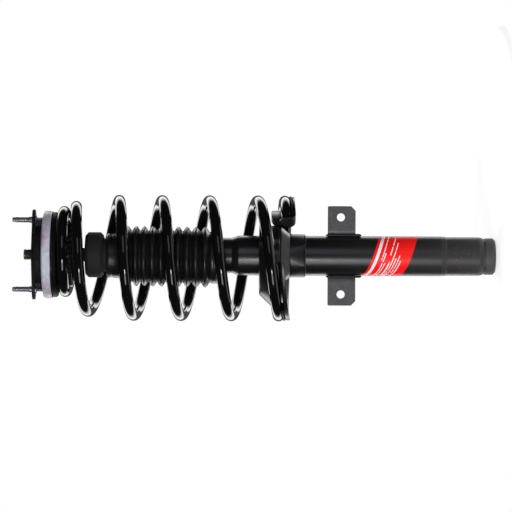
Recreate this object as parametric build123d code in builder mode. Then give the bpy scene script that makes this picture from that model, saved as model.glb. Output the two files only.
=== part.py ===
"""Complete car suspension strut: damper, coil spring, dust boot and swivelling top mount.

Millimetres. The strut axis is +Z, with the top mount up. The origin is the middle of the
length of tube that the wheel knuckle grips. +X is the side of the upper bracket ear,
and the front of the strut, with the label, faces -Y.
"""

import os
from math import cos, radians, sin

from build123d import *

# ---- damper tube -----------------------------------------------------------------------
clamp_r = 25.0  # radius where the knuckle grips the tube
clamp_len = 35.0  # plain gripped length
foot_len = 9.0  # plain tube below the gripped length
tube_r = 25.8  # radius above the step
tube_len = 262.0  # straight tube above the step
step_len = 7.5
wall = 2.2
roll_len = 4.5  # rolled-in shoulder at the foot of the tube
roll_fillet = 5.0
waist_r = 23.2  # where the shoulder closes on the base cap
lip_wall = 2.1
neck_r = 22.9  # closed-in neck at the top
neck_len = 27.0
neck_cone = 8.0

# ---- base cap --------------------------------------------------------------------------
cap_r = 23.8
cap_rim = 8.2
cap_waist = 4.0  # groove between the rim and the rolled shoulder
cap_edge = 2.9
soft_edge = 0.7  # rounding of turned edges
cap_plug = 9.0  # height of the plug inside the tube
lug_h = 1.1  # locating lug under the cap
lug_w = 14.0
lug_d = 6.0

# ---- inner damper parts ----------------------------------------------------------------
running = 0.05  # radial clearance of a running fit
bore_r = 16.0  # working bore of the pressure tube
bore_wall = 1.5
rod_r = 10.0
spigot_r = 6.0  # rod end that carries the piston
foot_valve_h = 8.0
foot_valve_r = 19.0
foot_spigot = 10.0
oil_port_r = 1.5
guide_h = 8.0  # rod guide inside the neck
guide_spigot = 8.0  # part of the guide inside the pressure tube
seal_h = 4.0
seal_depth = 2.0  # seal's top below the neck's edge
gland_h = 3.0  # flange that the bump stop meets
piston_h = 18.0
piston_play = 0.4
band_h = 12.0
band_t = 1.0
shim_r = 12.0
shim_h = 4.0
piston_nut_h = 8.0
piston_nut_r = 9.0
rebound_gap = 0.5  # play under the rod guide at full extension
rebound_h = 7.5
rebound_wall = 3.5
rebound_drop = 12.0  # from the rebound ring down to the piston

# ---- seat for the lower end of the spring ----------------------------------------------
collar_up = 176.0  # collar's lower edge above the step
collar_len = 19.0
collar_wall = 2.3
seat_sheet = 3.0
funnel_r = 38.0  # cone that rises from the collar inside the seat
funnel_h = 11.5
crown_r = 47.0  # raised crown of the seat
crown_h = 40.0  # above the collar
crown_slope = 16.0  # height of the crown's sloping shoulder
coil_play = 5.4  # from the seat's wall to the inside of the spring
plate_margin = 5.6  # plate beyond the wire's centre line
ramp_lift = 10.3  # extra rise of the plate a quarter turn before the low crest
notch_start = 46.0  # open sector of the plate, degrees from +X towards -Y
notch_end = 94.0
stop_h = 18.0  # upturned end that the wire butts against
stop_angle = 4.0
pad_t = 1.2  # rubber pad under the wire
pad_lift = 0.1  # pad's lower face above the plate
pad_width = 11.0
section_step = 13.0  # degrees between the sections of the plate
pad_skip = 4  # sections of the plate before the pad begins

# ---- coil spring -----------------------------------------------------------------------
wire_r = 7.2
coil_r = 74.6  # centre-line radius of the full coils
coil_shift = -3.8  # their centre's offset from the strut axis, along X
end_coil_r = 51.9  # small coil at the top
end_shift = 4.1
spring_h = 286.1  # between the centre lines of the first and the last crest
spring_up = 6.9  # last crest above the collar
lead_angle = 100.0  # wire before the first crest, degrees
tail_angle = 45.0  # wire past the last crest
# Drop from each crest to the next, half a turn on: the closed ends in wire radii, then the
# open coils as shares of what is left.
top_drops = (0.0, 0.28, 1.85, 2.22)
open_shares = (39.7, 19.8, 36.0, 25.4, 36.1, 29.3, 33.3, 28.0)
end_drops = (1.0, 1.25)
growth = (0.0, 0.0, 0.0, 0.45, 0.84)  # small coil to full coil, crest by crest

# ---- bracket with two ears -------------------------------------------------------------
ear_up = 110.0  # ear's lower edge above the step
ear_len = 36.0
ear_reach = 64.5
ear_hole_x = 50.0
ear_hole_r = 5.25
ear_hole_up = 19.0
ear_t = 3.2
ear_bend = 6.0  # bend radius, which also brings the ears forward of the axis
ear_bevel = 5.8
ear_corner = 1.3
weld_w = 2.4
seam_r = 2.3  # bead in the groove between the tube and each bend
seam_below = 7.8  # bead past the ear's lower edge
seam_above = 2.6

# ---- label -----------------------------------------------------------------------------
label_up = 26.4  # lowest corner above the step
label_w = 49.5
label_slant = 22.0
label_t = 0.2
label_corner = 5.0

# ---- bump stop and boot ----------------------------------------------------------------
bump_head_r = 29.4
bump_head_h = 23.6
bump_bevel = 4.0
bump_body_r = 21.5
bump_body_h = 24.6
bump_waist = 2.5
bump_drop = 35.3  # bump stop's top below the spring's upper pad
boot_t = 1.6
boot_shift = -1.9  # the boot hangs off the strut's axis, along X
boot_peak_r = 39.6
boot_valley_r = 33.0
boot_folds = 10
boot_shoulder = 8.0
cuff_r = 34.4
cuff_h = 16.0
cuff_drop = 13.0  # cuff's lower edge below the top of the neck
boot_top_r = 29.4
boot_top_h = 12.0
boot_gap = 4.6  # boot's top lip to the bump stop's head
boot_play = 0.3

# ---- upper spring seat and bearing -----------------------------------------------------
play = 0.3  # left between parts of different bodies
upper_r = 55.3
pad_ring_t = 3.6
pan_t = 3.0
pan_pipe_t = 1.5
rib_play = 0.3  # between the ribbed centring neck and the small coil
rib_h = 18.7
rib_wall = 3.0
rib_depth = 1.0
rib_w = 1.6
rib_count = 36
ball_r = 3.0
ball_pitch_r = 46.0
ball_count = 24
race_t = 2.0
race_w = 9.0
cage_t = 1.4
cage_w = 8.0
cover_r = 56.6
cover_wall = 2.0
cover_top = 3.0
cover_hang = 0.6  # skirt's lower edge above the lower race's seat

# ---- top mount -------------------------------------------------------------------------
cup_r = 48.0
cup_h = 8.5
cup_wall = 2.5
cup_hole = 24.0
rubber_r = 37.7
rubber_gap = 1.9  # rubber showing between the cup and the plate
plate_t = 3.5
plate_r = 27.5
plate_bore = 20.0
rubber_crown = 0.6  # rubber above the plate
rubber_drop = 3.2  # rubber below the cup
stud_x = 45.2
stud_r = 4.0
stud_neck_r = 4.35
stud_neck_h = 3.9
stud_h = 26.4
stud_head_r = 6.4
stud_head_h = 1.6
stud_tip = 1.2
ear_end_r = 13.3
tip_r = 7.0  # threaded rod end
tip_up = 10.9  # above the rubber crown
core_r = 14.0
core_h = 9.0
core_drop = 5.2  # core's foot below the cup
recess_r = 16.0
washer_t = 1.6
washer_r = 13.5
nut_h = 10.0
nut_r = 12.1

# ---- levels along the axis, worked out from the sizes above ----------------------------
clamp_low, clamp_high = -clamp_len / 2, clamp_len / 2
foot_low = clamp_low - foot_len
tube_foot = foot_low - roll_len
cap_top = tube_foot - cap_waist
cap_face = cap_top - cap_rim - cap_edge
step_top = clamp_high + step_len
tube_top = step_top + tube_len
neck_base = tube_top + neck_cone
neck_top = neck_base + neck_len
gland_top = neck_top + gland_h

tube_in = clamp_r - wall
neck_in = neck_r - wall
lip_in = waist_r - lip_wall
lip_top = foot_low - 2.0
plug_top = lip_top + cap_plug
foot_valve_top = plug_top + foot_valve_h
seal_base = neck_top - seal_depth - seal_h
guide_base = seal_base - guide_h
spigot_base = guide_base - guide_spigot
rebound_top = spigot_base - rebound_gap
rebound_base = rebound_top - rebound_h
piston_top = rebound_base - rebound_drop
piston_base = piston_top - piston_h
shim_base = piston_base - shim_h
rod_end = shim_base - piston_nut_h

ear_base = step_top + ear_up
collar_base = step_top + collar_up
collar_top = collar_base + collar_len
crown_top = collar_top + crown_h
wall_r = coil_r - wire_r - coil_play
last_crest = collar_top + spring_up
first_crest = last_crest + spring_h

rib_r = end_coil_r - end_shift - wire_r - rib_play
pad_base = first_crest + wire_r + play
pan_base = pad_base + pad_ring_t
race_base = pan_base + pan_t
ball_level = race_base + race_t + running + ball_r
upper_race_base = ball_level + ball_r + running
cover_under = upper_race_base + race_t
cup_base = cover_under + cover_top
cup_floor = cup_base + cup_wall
cup_top = cup_base + cup_h
plate_base = cup_top + rubber_gap
plate_top = plate_base + plate_t
crown_level = plate_top + rubber_crown
core_base = cup_base - core_drop
core_top = core_base + core_h
washer_top = core_top + washer_t
rod_tip = crown_level + tip_up
stud_top = plate_top + stud_h

bump_top = pad_base - bump_drop
bump_shelf = bump_top - bump_head_h
bump_foot = bump_shelf - bump_body_h
boot_top = bump_shelf - boot_gap
boot_neck = boot_top - boot_top_h
cuff_base = neck_top - cuff_drop
cuff_top = cuff_base + cuff_h


def turn(*outline, centre=0.0):
    """Turn a closed outline of (radius, height) points about an axis parallel to the strut's."""
    with BuildSketch(Plane.XZ) as profile:
        with BuildLine():
            Polyline(*[(centre + r, z) for r, z in outline], close=True)
        make_face()
    revolve(profile.sketch, axis=Axis((centre, 0, 0), (0, 0, 1)))


def finish(piece, name):
    """Label a finished piece and write it to its own file."""
    piece.part.label = name
    export_step(piece.part, f"parts/{name}.step")


os.makedirs("parts", exist_ok=True)

# ========================================================================================
# Damper tube and what it holds
# ========================================================================================

with BuildPart() as reservoir_tube:
    turn(
        (waist_r, tube_foot),
        (clamp_r, foot_low),
        (clamp_r, clamp_high),
        (tube_r, step_top),
        (tube_r, tube_top),
        (neck_r, neck_base),
        (neck_r, neck_top),
        (neck_in, neck_top),
        (neck_in, neck_base),
        (tube_in, tube_top),
        (tube_in, foot_low + 1.0),
        (lip_in, lip_top),
        (lip_in, tube_foot),
    )
    rims = reservoir_tube.edges().filter_by(GeomType.CIRCLE)
    fillet(rims.filter_by_position(Axis.Z, foot_low, foot_low), roll_fillet)
finish(reservoir_tube, "reservoir_tube")

with BuildPart() as base_cap:
    turn(
        (0, cap_face),
        (cap_r - cap_edge, cap_face),
        (cap_r, cap_face + cap_edge),
        (cap_r, cap_top),
        (waist_r - 0.4, cap_top),
        (waist_r - 0.4, tube_foot),
        (lip_in, tube_foot),
        (lip_in, lip_top),
        (tube_in, foot_low + 1.0),
        (tube_in, plug_top),
        (0, plug_top),
    )
    with BuildSketch(Plane.XY.offset(cap_face)):
        SlotOverall(lug_w, lug_d)
    extrude(amount=-lug_h)
    rims = base_cap.edges().filter_by(GeomType.CIRCLE)
    fillet(rims.filter_by_position(Axis.Z, cap_top, cap_top).sort_by(SortBy.RADIUS)[-1], soft_edge)
finish(base_cap, "base_cap")

with BuildPart() as base_valve:
    turn(
        (0, plug_top),
        (foot_valve_r, plug_top),
        (foot_valve_r, foot_valve_top),
        (bore_r, foot_valve_top),
        (bore_r, foot_valve_top + foot_spigot),
        (0, foot_valve_top + foot_spigot),
    )
    with BuildSketch(Plane.XY.offset(plug_top)):
        with PolarLocations(bore_r * 0.6, 8):
            Circle(oil_port_r)
    extrude(amount=foot_valve_h + foot_spigot, mode=Mode.SUBTRACT)
finish(base_valve, "base_valve")

with BuildPart() as pressure_tube:
    turn(
        (bore_r, foot_valve_top),
        (bore_r + bore_wall, foot_valve_top),
        (bore_r + bore_wall, guide_base),
        (bore_r, guide_base),
    )
finish(pressure_tube, "pressure_tube")

with BuildPart() as rod_guide:
    turn(
        (rod_r + running, spigot_base),
        (bore_r, spigot_base),
        (bore_r, guide_base),
        (neck_in, guide_base),
        (neck_in, seal_base),
        (rod_r + running, seal_base),
    )
finish(rod_guide, "rod_guide")

with BuildPart() as oil_seal:
    turn(
        (rod_r + running, seal_base),
        (neck_in, seal_base),
        (neck_in, seal_base + seal_h),
        (rod_r + running, seal_base + seal_h),
    )
finish(oil_seal, "oil_seal")

with BuildPart() as gland_cap:
    turn(
        (rod_r + play, seal_base + seal_h),
        (neck_in, seal_base + seal_h),
        (neck_in, neck_top),
        (neck_r, neck_top),
        (neck_r, gland_top),
        (rod_r + play, gland_top),
    )
    top_rims = gland_cap.edges().filter_by(GeomType.CIRCLE).group_by(Axis.Z)[-1]
    chamfer(top_rims, 0.8)
finish(gland_cap, "gland_cap")

# ========================================================================================
# Lower spring seat
# ========================================================================================

with BuildPart() as seat_collar:
    turn(
        (tube_r, collar_base),
        (tube_r + collar_wall, collar_base),
        (tube_r + collar_wall, collar_top),
        (tube_r, collar_top),
    )
    rims = seat_collar.edges().filter_by(GeomType.CIRCLE).group_by(Axis.Z)[0]
    fillet(rims.sort_by(SortBy.RADIUS)[-1], soft_edge)
finish(seat_collar, "seat_collar")

with BuildPart() as seat_weld:
    turn(
        (tube_r, collar_base - weld_w),
        (tube_r + collar_wall, collar_base),
        (tube_r, collar_base),
    )
finish(seat_weld, "seat_weld")

# Crests of the spring, from above the small coil down: each is (x, z) on the wire's centre
# line, alternately on the -X and the +X side.
closed = wire_r * (sum(top_drops) + end_drops[0])
open_height = (spring_h - closed) / sum(open_shares)
drops = [wire_r * d for d in top_drops]
drops += [open_height * share for share in open_shares]
drops += [wire_r * d for d in end_drops]
crests = []
level = first_crest + drops[0]
for index in range(len(drops) + 1):
    grown = growth[index] if index < len(growth) else 1.0
    radius = end_coil_r + (coil_r - end_coil_r) * grown
    shift = end_shift + (coil_shift - end_shift) * grown
    side = -1 if index % 2 == 0 else 1
    crests.append((shift + side * radius, level))
    level -= drops[index] if index < len(drops) else 0.0


def half_turn(index):
    """Centre, arm and sweep vectors of the flat arc from one crest to the next."""
    (x0, z0), (x1, z1) = crests[index], crests[index + 1]
    centre = Vector((x0 + x1) / 2, 0, (z0 + z1) / 2)
    arm = Vector(x0, 0, z0) - centre
    across = Vector(0, arm.length if x0 < 0 else -arm.length, 0)
    return centre, arm, across


def on_wire(index, angle):
    """Point of the wire's centre line, angle degrees past a crest."""
    centre, arm, across = half_turn(index)
    return centre + arm * cos(radians(angle)) + across * sin(radians(angle))


low_crest = len(crests) - 3  # crest on the -X side where the wire comes down on the plate


def plate_level(angle):
    """Height of the plate's upper face, angle degrees round from +X towards -Y."""
    under = wire_r * 1.02 + pad_t
    if angle < 180:
        lift = ramp_lift * (1 - cos(radians(180 - angle)))
        return crests[low_crest][1] + lift - under
    past, rest = divmod(angle - 180, 180)
    return on_wire(low_crest + int(past), rest).Z - under


def radial_plane(angle):
    """Upright plane through the spring's axis: its x runs outwards, its y up."""
    turned = radians(angle)
    out = Vector(cos(turned), -sin(turned), 0)
    return Plane(origin=(coil_shift, 0, 0), x_dir=out, z_dir=out.cross(Vector(0, 0, 1)))


def ruled_sector(start, end, section):
    """Loft straight from section to section round the spring's axis."""
    count = max(1, round((end - start) / section_step))
    faces = []
    for k in range(count + 1):
        angle = start + (end - start) * k / count
        with BuildSketch(radial_plane(angle)) as cut:
            with BuildLine():
                Polyline(*section(angle), close=True)
            make_face()
        faces.append(cut.sketch)
    loft(faces, ruled=True)


skirt_r = wall_r - seat_sheet
plate_edge = coil_r + plate_margin
slope_base = crown_top - crown_slope
skirt_foot = slope_base - 10.0


def plate_section(angle):
    """Wall and plate of the pressed seat."""
    top = plate_level(angle)
    return [
        (skirt_r + 0.4, slope_base),
        (wall_r - 0.4, slope_base),
        (wall_r - 0.4, top),
        (plate_edge, top),
        (plate_edge, top - seat_sheet),
        (skirt_r + 0.4, top - seat_sheet),
    ]


def stop_section(angle):
    """Upturned end of the plate."""
    low = plate_level(360 + notch_start) - seat_sheet
    return [
        (wall_r - 2.0, low),
        (plate_edge - 1.0, low),
        (plate_edge - 1.0, low + seat_sheet + stop_h),
        (wall_r - 2.0, low + seat_sheet + stop_h),
    ]


def pad_section(angle):
    """Strip of rubber on the plate."""
    low, high = plate_level(angle) + pad_lift, plate_level(angle) + pad_t
    inner, outer = coil_r - pad_width / 2, coil_r + pad_width / 2
    return [(inner, low), (outer, low), (outer, high), (inner, high)]


hub_r = tube_r + collar_wall
funnel_in = funnel_r - seat_sheet
with BuildPart() as lower_spring_seat:
    ruled_sector(notch_end, 360 + notch_start, plate_section)
    ruled_sector(360 + notch_start - 0.5, 360 + notch_start + stop_angle, stop_section)
    turn(
        (crown_r - 12.0, crown_top - seat_sheet),
        (crown_r - seat_sheet / 2, crown_top - seat_sheet),
        (skirt_r, slope_base - seat_sheet / 2),
        (skirt_r, skirt_foot),
        (wall_r, skirt_foot),
        (wall_r, slope_base),
        (crown_r, crown_top),
        (crown_r - 12.0, crown_top),
        centre=coil_shift,
    )
    turn(
        (tube_r, collar_top),
        (hub_r, collar_top),
        (funnel_r, collar_top + funnel_h),
        (funnel_r + seat_sheet, crown_top - seat_sheet),
        (crown_r - 5.0, crown_top - seat_sheet),
        (crown_r - 5.0, crown_top),
        (funnel_r, crown_top),
        (funnel_in, collar_top + funnel_h + 1.0),
        (tube_r, collar_top + seat_sheet),
    )
finish(lower_spring_seat, "lower_spring_seat")

with BuildPart() as lower_spring_pad:
    ruled_sector(notch_end + pad_skip * section_step, 360 + tail_angle, pad_section)
finish(lower_spring_pad, "lower_spring_pad")

with BuildPart() as coil_spring:
    with BuildLine() as wire:
        ThreePointArc(
            on_wire(0, 180 - lead_angle),
            on_wire(0, 180 - lead_angle / 2),
            on_wire(0, 180),
        )
        for index in range(1, len(crests) - 2):
            ThreePointArc(on_wire(index, 0), on_wire(index, 90), on_wire(index, 180))
        last = len(crests) - 2
        ThreePointArc(
            on_wire(last, 0), on_wire(last, tail_angle / 2), on_wire(last, tail_angle)
        )
    with BuildSketch(wire.line ^ 0):
        Circle(wire_r)
    sweep()
finish(coil_spring, "coil_spring")

# ========================================================================================
# Bracket and label on the tube
# ========================================================================================

strap_r = tube_r + ear_t / 2
bend_x = strap_r + ear_bend
with BuildPart() as ear_bracket:
    with BuildSketch(Plane.XY.offset(ear_base)):
        with BuildLine() as strap:
            Line((-ear_reach, -ear_bend), (-bend_x, -ear_bend))
            RadiusArc((-bend_x, -ear_bend), (-strap_r, 0), -ear_bend)
            ThreePointArc((-strap_r, 0), (0, strap_r), (strap_r, 0))
            RadiusArc((strap_r, 0), (bend_x, -ear_bend), -ear_bend)
            Line((bend_x, -ear_bend), (ear_reach, -ear_bend))
        trace(line_width=ear_t)
    extrude(amount=ear_len)
    with BuildSketch(Plane.XZ.offset(ear_bend)):
        with Locations(
            (-ear_hole_x, ear_base + ear_hole_up), (ear_hole_x, ear_base + ear_hole_up)
        ):
            Circle(ear_hole_r)
    extrude(amount=ear_t, both=True, mode=Mode.SUBTRACT)
    corners = ear_bracket.edges().filter_by(Axis.Y).filter_by(GeomType.LINE)
    for side in corners.group_by(Axis.X)[0], corners.group_by(Axis.X)[-1]:
        chamfer(side.sort_by(Axis.Z)[0], ear_bevel)
    corners = ear_bracket.edges().filter_by(Axis.Y).filter_by(GeomType.LINE)
    for side in corners.group_by(Axis.X)[0], corners.group_by(Axis.X)[-1]:
        chamfer(side.sort_by(Axis.Z)[-1], ear_corner)
finish(ear_bracket, "ear_bracket")

seam_low, seam_high = ear_base - seam_below, ear_base + ear_len + seam_above
with BuildPart() as bracket_welds:
    for edge, out in (ear_base, -weld_w), (ear_base + ear_len, weld_w):
        turn((tube_r, edge), (tube_r + weld_w, edge), (tube_r, edge + out))
    with BuildSketch(Plane.XY.offset(ear_base - 2 * weld_w)):
        with Locations((0, -tube_r)):
            Rectangle(3 * tube_r, 2 * tube_r - weld_w)
    extrude(amount=ear_len + 4 * weld_w, mode=Mode.SUBTRACT)
finish(bracket_welds, "bracket_welds")

with BuildPart() as bracket_seams:
    with BuildSketch(Plane.XY.offset(seam_low)) as beads:
        with Locations((-tube_r - seam_r / 2, -ear_bend), (tube_r + seam_r / 2, -ear_bend)):
            Circle(seam_r)
    extrude(amount=seam_high - seam_low)
    ends = bracket_seams.edges().filter_by(GeomType.CIRCLE)
    chamfer(ends, seam_r * 0.7)
    with BuildSketch(Plane.XY.offset(seam_low)):
        Circle(tube_r)
    extrude(amount=seam_high - seam_low, mode=Mode.SUBTRACT)
finish(bracket_seams, "bracket_seams")

with BuildPart() as label:
    low = step_top + label_up
    with BuildSketch(Plane.XY.offset(low)):
        Circle(tube_r + label_t)
        Circle(tube_r, mode=Mode.SUBTRACT)
    extrude(amount=label_w + label_slant)
    with BuildSketch(Plane.XZ):
        with BuildLine():
            Polyline(
                (tube_r + 2, low),
                (tube_r + 2, low + label_w),
                (-tube_r - 2, low + label_w + label_slant),
                (-tube_r - 2, low + label_slant),
                close=True,
            )
        make_face()
    extrude(amount=2 * tube_r, mode=Mode.INTERSECT)
finish(label, "label")

# ========================================================================================
# Dust boot
# ========================================================================================

fold = (boot_neck - boot_shoulder - cuff_top) / boot_folds
folds = []
for k in range(boot_folds):
    folds += [
        (boot_valley_r, cuff_top + fold * k),
        (boot_peak_r, cuff_top + fold * (k + 0.4)),
        (boot_peak_r, cuff_top + fold * (k + 0.6)),
    ]
folds.append((boot_valley_r, cuff_top + fold * boot_folds))
outside = [(cuff_r, cuff_base), (cuff_r, cuff_top - boot_t), *folds]
outside += [(boot_top_r, boot_neck), (boot_top_r, boot_top)]
top_bore_r = bump_body_r + boot_play
inside = [(top_bore_r + boot_shift, boot_top), (top_bore_r + boot_shift, boot_top - boot_t)]
inside += [(boot_top_r - boot_t, boot_top - boot_t), (boot_top_r - boot_t, boot_neck)]
inside += [(r - boot_t, z) for r, z in reversed(folds)]
inside += [(cuff_r - boot_t, cuff_top - boot_t), (cuff_r - boot_t, cuff_base + boot_t)]
inside += [(neck_r + boot_shift, cuff_base + boot_t), (neck_r + boot_shift, cuff_base)]
with BuildPart() as dust_boot:
    turn(*outside, *inside, centre=boot_shift)
    for bore_level, bore in (cuff_base, neck_r), (boot_top - boot_t, top_bore_r):
        with BuildSketch(Plane.XY.offset(bore_level)):
            Circle(bore)
        extrude(amount=boot_t, mode=Mode.SUBTRACT)
finish(dust_boot, "dust_boot")

# ========================================================================================
# Upper spring seat, on the spring's side of the bearing
# ========================================================================================

with BuildPart() as upper_spring_pad:
    turn(
        (rib_r - rib_depth - rib_wall, pad_base - rib_h),
        (rib_r - rib_depth, pad_base - rib_h),
        (rib_r - rib_depth, pad_base),
        (upper_r, pad_base),
        (upper_r, pan_base),
        (rib_r - rib_depth - rib_wall, pan_base),
    )
    with BuildSketch(Plane.XY.offset(pad_base - rib_h)):
        with PolarLocations(rib_r - rib_depth, rib_count):
            Rectangle(2 * rib_depth, rib_w)
    extrude(amount=rib_h)
finish(upper_spring_pad, "upper_spring_pad")

pipe_r = rib_r - rib_depth - rib_wall
with BuildPart() as upper_spring_seat:
    turn(
        (pipe_r - pan_pipe_t, pad_base - rib_h),
        (pipe_r, pad_base - rib_h),
        (pipe_r, pan_base),
        (upper_r, pan_base),
        (upper_r, race_base),
        (pipe_r - pan_pipe_t, race_base),
    )
finish(upper_spring_seat, "upper_spring_seat")

race_in, race_out = ball_pitch_r - race_w / 2, ball_pitch_r + race_w / 2
with BuildPart() as bearing_lower_race:
    turn(
        (race_in, race_base),
        (race_out, race_base),
        (race_out, race_base + race_t),
        (race_in, race_base + race_t),
    )
finish(bearing_lower_race, "bearing_lower_race")

with BuildPart() as bearing_cage:
    with BuildSketch(Plane.XY.offset(ball_level - cage_t / 2)):
        Circle(ball_pitch_r + cage_w / 2)
        Circle(ball_pitch_r - cage_w / 2, mode=Mode.SUBTRACT)
        with PolarLocations(ball_pitch_r, ball_count):
            Circle(ball_r + running, mode=Mode.SUBTRACT)
    extrude(amount=cage_t)
finish(bearing_cage, "bearing_cage")

with BuildPart() as bearing_balls:
    with PolarLocations(ball_pitch_r, ball_count):
        with Locations((0, 0, ball_level)):
            Sphere(ball_r)
finish(bearing_balls, "bearing_balls")

# ========================================================================================
# Top mount, on the body's side of the bearing
# ========================================================================================

with BuildPart() as bearing_upper_race:
    turn(
        (race_in, upper_race_base),
        (race_out, upper_race_base),
        (race_out, cover_under),
        (race_in, cover_under),
    )
finish(bearing_upper_race, "bearing_upper_race")

with BuildPart() as bearing_cover:
    turn(
        (race_in - cover_wall, cover_under),
        (cover_r - cover_wall, cover_under),
        (cover_r - cover_wall, race_base + cover_hang),
        (cover_r, race_base + cover_hang),
        (cover_r, cup_base),
        (race_in - cover_wall, cup_base),
    )
    outer = bearing_cover.edges().filter_by(GeomType.CIRCLE).sort_by(SortBy.RADIUS)
    outer = outer[-2:].sort_by(Axis.Z)
    fillet(outer[-1], cover_wall)
    fillet(outer[0], soft_edge)
finish(bearing_cover, "bearing_cover")

with BuildPart() as mount_cup:
    turn(
        (cup_hole, cup_base),
        (cup_r, cup_base),
        (cup_r, cup_top),
        (cup_r - cup_wall, cup_top),
        (cup_r - cup_wall, cup_floor),
        (cup_hole, cup_floor),
    )
    outer = mount_cup.edges().filter_by(GeomType.CIRCLE).sort_by(SortBy.RADIUS)[-2:]
    fillet(outer, soft_edge)
finish(mount_cup, "mount_cup")

with BuildPart() as mount_rubber:
    turn(
        (core_r, cup_base - rubber_drop),
        (cup_hole, cup_base - rubber_drop),
        (cup_hole, cup_floor),
        (cup_r - cup_wall, cup_floor),
        (cup_r - cup_wall, cup_top),
        (rubber_r, cup_top),
        (rubber_r, plate_base),
        (plate_bore, plate_base),
        (plate_bore, crown_level),
        (recess_r, crown_level),
        (recess_r, core_top),
        (core_r, core_top),
    )
finish(mount_rubber, "mount_rubber")

with BuildPart() as mount_core:
    turn(
        (tip_r, core_base),
        (core_r, core_base),
        (core_r, core_top),
        (tip_r, core_top),
    )
finish(mount_core, "mount_core")

with BuildPart() as mount_plate:
    with BuildSketch(Plane.XY.offset(plate_base)):
        Circle(plate_r)
        with Locations((-stud_x, 0), (stud_x, 0)):
            Circle(ear_end_r)
        make_hull()
        Circle(plate_bore, mode=Mode.SUBTRACT)
        with Locations((-stud_x, 0), (stud_x, 0)):
            Circle(stud_neck_r, mode=Mode.SUBTRACT)
    extrude(amount=plate_t)
finish(mount_plate, "mount_plate")

with BuildPart() as mount_studs:
    for x in (-stud_x, stud_x):
        turn(
            (0, plate_base - stud_head_h),
            (stud_head_r, plate_base - stud_head_h),
            (stud_head_r, plate_base),
            (stud_neck_r, plate_base),
            (stud_neck_r, plate_top + stud_neck_h),
            (stud_r, plate_top + stud_neck_h),
            (stud_r, stud_top - stud_tip),
            (stud_r - stud_tip, stud_top),
            (0, stud_top),
            centre=x,
        )
finish(mount_studs, "mount_studs")

with BuildPart() as core_washer:
    with BuildSketch(Plane.XY.offset(core_top)):
        Circle(washer_r)
        Circle(tip_r, mode=Mode.SUBTRACT)
    extrude(amount=washer_t)
finish(core_washer, "core_washer")

with BuildPart() as rod_nut:
    with BuildSketch(Plane.XY.offset(washer_top)):
        RegularPolygon(nut_r, 6)
        Circle(tip_r, mode=Mode.SUBTRACT)
    extrude(amount=nut_h)
finish(rod_nut, "rod_nut")

# ========================================================================================
# Piston rod and piston, hung from the mount
# ========================================================================================

with BuildPart() as piston_rod:
    turn(
        (0, rod_end),
        (spigot_r, rod_end),
        (spigot_r, piston_top),
        (rod_r, piston_top),
        (rod_r, core_base),
        (tip_r, core_base),
        (tip_r, rod_tip - 1.0),
        (tip_r - 1.0, rod_tip),
        (0, rod_tip),
    )
finish(piston_rod, "piston_rod")

with BuildPart() as rebound_ring:
    turn(
        (rod_r, rebound_base),
        (rod_r + rebound_wall, rebound_base),
        (rod_r + rebound_wall, rebound_top),
        (rod_r, rebound_top),
    )
finish(rebound_ring, "rebound_ring")

band_base = piston_base + (piston_h - band_h) / 2
groove_r = bore_r - running - band_t
with BuildPart() as piston:
    turn(
        (spigot_r, piston_base),
        (bore_r - piston_play, piston_base),
        (bore_r - piston_play, band_base),
        (groove_r, band_base),
        (groove_r, band_base + band_h),
        (bore_r - piston_play, band_base + band_h),
        (bore_r - piston_play, piston_top),
        (spigot_r, piston_top),
    )
    with BuildSketch(Plane.XY.offset(piston_base)):
        with PolarLocations((spigot_r + groove_r) / 2, 8):
            Circle(oil_port_r)
    extrude(amount=piston_h, mode=Mode.SUBTRACT)
finish(piston, "piston")

with BuildPart() as piston_band:
    turn(
        (groove_r, band_base),
        (bore_r - running, band_base),
        (bore_r - running, band_base + band_h),
        (groove_r, band_base + band_h),
    )
finish(piston_band, "piston_band")

with BuildPart() as piston_shims:
    turn(
        (spigot_r, shim_base),
        (shim_r * 0.75, shim_base),
        (shim_r, piston_base),
        (spigot_r, piston_base),
    )
finish(piston_shims, "piston_shims")

with BuildPart() as piston_nut:
    with BuildSketch(Plane.XY.offset(rod_end)):
        RegularPolygon(piston_nut_r, 6)
        Circle(spigot_r, mode=Mode.SUBTRACT)
    extrude(amount=piston_nut_h)
finish(piston_nut, "piston_nut")

with BuildPart() as bump_stop:
    turn(
        (rod_r, bump_foot),
        (bump_body_r - 2 * bump_waist, bump_foot),
        (bump_body_r, bump_foot + 2 * bump_waist),
        (bump_body_r, bump_foot + 4 * bump_waist),
        (bump_body_r - bump_waist, bump_foot + 5.5 * bump_waist),
        (bump_body_r, boot_top - boot_t - bump_waist),
        (bump_body_r, bump_shelf),
        (bump_head_r - bump_bevel, bump_shelf),
        (bump_head_r, bump_shelf + bump_bevel),
        (bump_head_r, bump_top - bump_bevel),
        (bump_head_r - bump_bevel, bump_top),
        (rod_r, bump_top),
    )
finish(bump_stop, "bump_stop")

print("overall", cap_face - lug_h, "to", stud_top)
print("free stroke to the bump stop", bump_foot - gland_top)
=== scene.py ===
# %% [markdown]
# # A car suspension strut
# A strut is three things on one axis: an oil damper, the coil spring round it, and a top mount
# on a bearing, so that spring and damper can turn together when the car is steered.
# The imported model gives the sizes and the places. This file gives the surfaces and finishes.
# The strut stands along +Z with its top mount up, and the front, with the label, faces -Y.

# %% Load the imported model
from math import cos, pi, radians, sin

import bmesh
import bpy
import numpy as np
from mathutils import Matrix, Vector


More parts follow.
